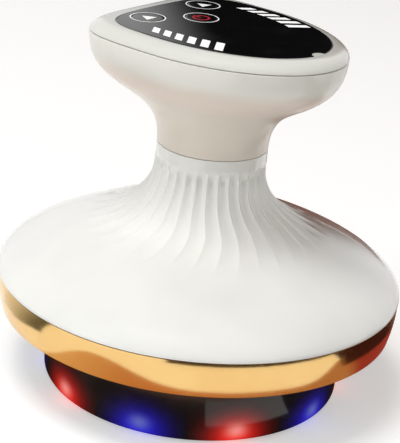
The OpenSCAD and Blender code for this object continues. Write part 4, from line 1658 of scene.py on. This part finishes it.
@dataclass(frozen=True)
class Mat:
    """A flat card on the floor: the area between two radii over a range of angles.

    A radius is one number or one for each angle, and end is the colour at the last angle.
    """

    name: str
    turn: np.ndarray
    inner: float
    outer: "float | np.ndarray"
    colour: Colour
    end: Colour | None = None
    height: float = 0.02

    def build(self) -> None:
        """Makes the card, whose colour may change from its first angle to its last."""
        a = np.radians(self.turn)
        ways = np.column_stack([np.cos(a), np.sin(a)])
        n = len(a)
        edges = [ways * np.broadcast_to(r, n)[:, None] for r in (self.inner, self.outer)]
        points = np.column_stack([np.concatenate(edges), np.full(2 * n, self.height)])
        card = Card(self.name, points, [[i, n + i, n + i + 1, i + 1] for i in range(n - 1)])
        card.finish(self.colour if self.end is None else self._change(card.graph, a))

    def _change(self, graph: Graph, a: np.ndarray) -> bpy.types.NodeSocket:
        """Blends the two colours by the angle from the card's middle, which never wraps round.

        Args:
            graph: The material's nodes.
            a: The card's angles in radians.

        Returns:
            The blended colour.
        """
        x, y, _ = graph.axes()
        middle = float(a.mean())
        along = x * math.cos(middle) + y * math.sin(middle)
        across = y * math.cos(middle) - x * math.sin(middle)
        share = across.math("ARCTAN2", along).within(float(a[0]) - middle, float(a[-1]) - middle)
        return graph.blend(share, self.colour, self.end)


@dataclass
class Studio:
    """Floor, lights, cards and camera; eye, target and the lens are in millimetres."""

    target: tuple[float, float, float] = (-0.58, 0.78, 37.33)
    eye: tuple[float, float, float] = (-268.55, -198.24, 172.2)
    roll: float = 0.0998
    lens: float = 131.65
    floor_half: float = 3000.0
    floor_z: float = -0.05
    floor_glow: float = 0.42
    floor_fade: tuple[float, float] = (350.0, 1300.0)
    shade_from: tuple[float, float, float] = (0.78, 0.26, 0.57)
    world_strength: float = 0.38
    card_r: float = 600.0

    def build(self) -> None:
        """Sets the stage and the camera."""
        self._camera()
        self._floor()
        self._world()
        Lamp("key_light", (-0.28, 0.04, 0.92), 0.35, 4.7, (0.98, 0.99, 1.0)).build()
        Lamp("left_light", (-0.85, 0.25, 0.3), 0.45, 1.9, (0.98, 0.99, 1.0)).build()
        Lamp("right_light", (0.36, -0.84, 0.24), 0.35, 0.8, (0.99, 1.0, 1.0)).build()
        self._back_card()
        for mat in self._mats():
            mat.build()

    def _camera(self) -> None:
        """The photograph's view: eye, target, roll and lens."""
        camera = bpy.data.cameras.new("camera")
        camera.sensor_width = 36.0
        camera.lens = self.lens
        camera.clip_start = 0.01
        camera.clip_end = 20.0
        eye, target = Vector(self.eye) * MM, Vector(self.target) * MM
        ahead = (target - eye).normalized()
        level = ahead.cross(Vector((0, 0, 1))).normalized()
        above = level.cross(ahead)
        right = math.cos(self.roll) * level + math.sin(self.roll) * above
        up = -math.sin(self.roll) * level + math.cos(self.roll) * above
        turn = Matrix((right, up, -ahead)).transposed()
        made = bpy.data.objects.new("camera", camera)
        made.matrix_world = Matrix.Translation(eye) @ turn.to_4x4()
        bpy.context.scene.collection.objects.link(made)
        bpy.context.scene.camera = made
        bpy.context.scene.view_settings.view_transform = "Standard"

    def _floor(self) -> None:
        """A wide pale floor that turns white far out and lets the camera through from below."""
        half, z = self.floor_half, self.floor_z
        corners = [(-half, -half, z), (half, -half, z), (half, half, z), (-half, half, z)]
        floor = add_piece("floor", corners, [[0, 1, 2, 3]])
        material, graph = new_material("floor_paper")
        paper = graph.noise(3.0, 3.0)
        lit = graph.principled(
            Base_Color=graph.blend(paper, (0.80, 0.80, 0.79), (0.83, 0.83, 0.82)),
            Roughness=0.8, Specular_IOR_Level=0.1)
        glow = graph.emission(WHITE, self.floor_glow)
        near = graph.node("ShaderNodeAddShader", {}, {0: lit.outputs[0], 1: glow.outputs[0]})
        x, y, _ = graph.axes()
        far = distance(x, y).within(*self.floor_fade)
        wide = graph.either(far, near, graph.emission(WHITE))
        top = graph.either(graph.seen(), lit, wide)
        back = graph.node("ShaderNodeNewGeometry").outputs["Backfacing"]
        graph.output(graph.either(back, top, graph.node("ShaderNodeBsdfTransparent")))
        cover(floor, material)

    def _world(self) -> None:
        """Pale surroundings with a warm shade from the right, white where the camera sees them."""
        world = bpy.data.worlds.new("studio")
        world.use_nodes = True
        bpy.context.scene.world = world
        graph = Graph(world.node_tree)
        x, y, z = graph.axes()
        kx, ky, kz = self.shade_from
        toward = (kx * x + ky * y + kz * z) * MM
        tint = graph.blend(toward.within(0.2, 0.9), (1.0, 0.98, 0.94), (0.2, 0.1, 0.05))
        soft = graph.node("ShaderNodeBackground", {}, {0: tint, 1: self.world_strength})
        white = graph.node("ShaderNodeBackground", {}, {0: WHITE, 1: 1.0})
        graph.output(graph.either(graph.seen(), soft, white), "ShaderNodeOutputWorld")

    def _back_card(self) -> None:
        """A curved dark card at the back right, paler towards both ends."""
        a = np.radians(np.linspace(9, 50, 18))
        n = len(a)
        low = np.column_stack([self.card_r * np.cos(a), self.card_r * np.sin(a), np.full(n, 12.0)])
        points = np.concatenate([low, low + [0, 0, 420]])
        card = Card("back_card", points, [[i, i + 1, n + i + 1, n + i] for i in range(n - 1)])
        graph = card.graph
        x, y, z = graph.axes()
        turn = bearing(x, y)
        dark = graph.blend(turn.within(22, 30), tone(96, 50, 38), tone(12, 12, 13))
        slant = turn + 0.0175 * (z - 250.0)
        pale = (slant.within(37.2, 43.0) * 0.62).math("MAXIMUM", turn.within(22, 12))
        card.finish(graph.blend(pale, dark, WHITE))

    @staticmethod
    def _mats() -> list[Mat]:
        """Cards that lie round the foot and give the plated ring its darker reflections.

        Formula: the warm card's outer edge is a circle plus two bell-shaped lobes, less a
        smooth step at its first end.

        Returns:
            The cards.
        """
        a = np.linspace(146, 287, 90)
        left = 19 * np.exp(-((a - 176) / np.where(a < 176, 11, 21)) ** 2)
        lobes = left + 26 * np.exp(-((a - 291) / 14) ** 2) - 5.5 * smooth((168 - a) / 22)
        edge = 58.5 + lobes
        near, far = a < 205, a > 203
        olive = np.linspace(112, 148, 20)
        olive_in = 64.0 + 6 * smooth((olive - 128) / 20)
        dark = tone(36, 27, 24)
        grey = (0.62, 0.62, 0.6)
        sand, tan, deep = (0.86, 0.62, 0.37), (0.6, 0.27, 0.125), (0.48, 0.24, 0.125)
        red = (0.33, 0.05, 0.04)
        return [
            Mat("dark_mat", np.linspace(-92, 226, 80), 20.0, 53.0, dark),
            Mat("foot_mat", np.linspace(226, 268, 20), 20.0, 41.0, dark),
            Mat("grey_mat", np.linspace(226, 268, 20), 41.0, 53.0, grey),
            Mat("warm_mat", a[near], 53.0, edge[near], sand, tan),
            Mat("tan_mat", a[far], 53.0, edge[far], tan, deep),
            Mat("line_mat", np.linspace(206, 286, 40), 110.0, 500.0, (0.02, 0.012, 0.008)),
            Mat("blend_mat", np.linspace(-76, -62, 20), 50.0, 66.0, deep, red),
            Mat("red_mat", np.linspace(-62, -20, 20), 50.0, 66.0, red),
            Mat("maroon_mat", np.linspace(-76, -38, 20), 66.0, 190.0, (0.045, 0.014, 0.014)),
            Mat("brown_mat", np.linspace(-38, 0, 20), 66.0, 100.0, (0.05, 0.016, 0.015),
                (0.4, 0.22, 0.18)),
            Mat("rear_mat", np.linspace(12, 38, 20), 60.0, 600.0, tone(110, 58, 44)),
            Mat("olive_mat", olive, olive_in, 160.0, (0.9, 0.9, 0.85), (0.1, 0.1, 0.08)),
        ]


def main() -> None:
    """Builds the stage, each sub-assembly and the finishes, and notes the sizes."""
    logging.basicConfig(level=logging.INFO, format="%(message)s")
    levels = Levels()
    head = Head(levels, Egg())
    Studio().build()
    finishes = Finishes(head)
    Dome(levels).build(finishes.white)
    head.build(finishes)
    Base(levels).build(finishes)
    Works().build(finishes)


if __name__ == "__main__":
    main()
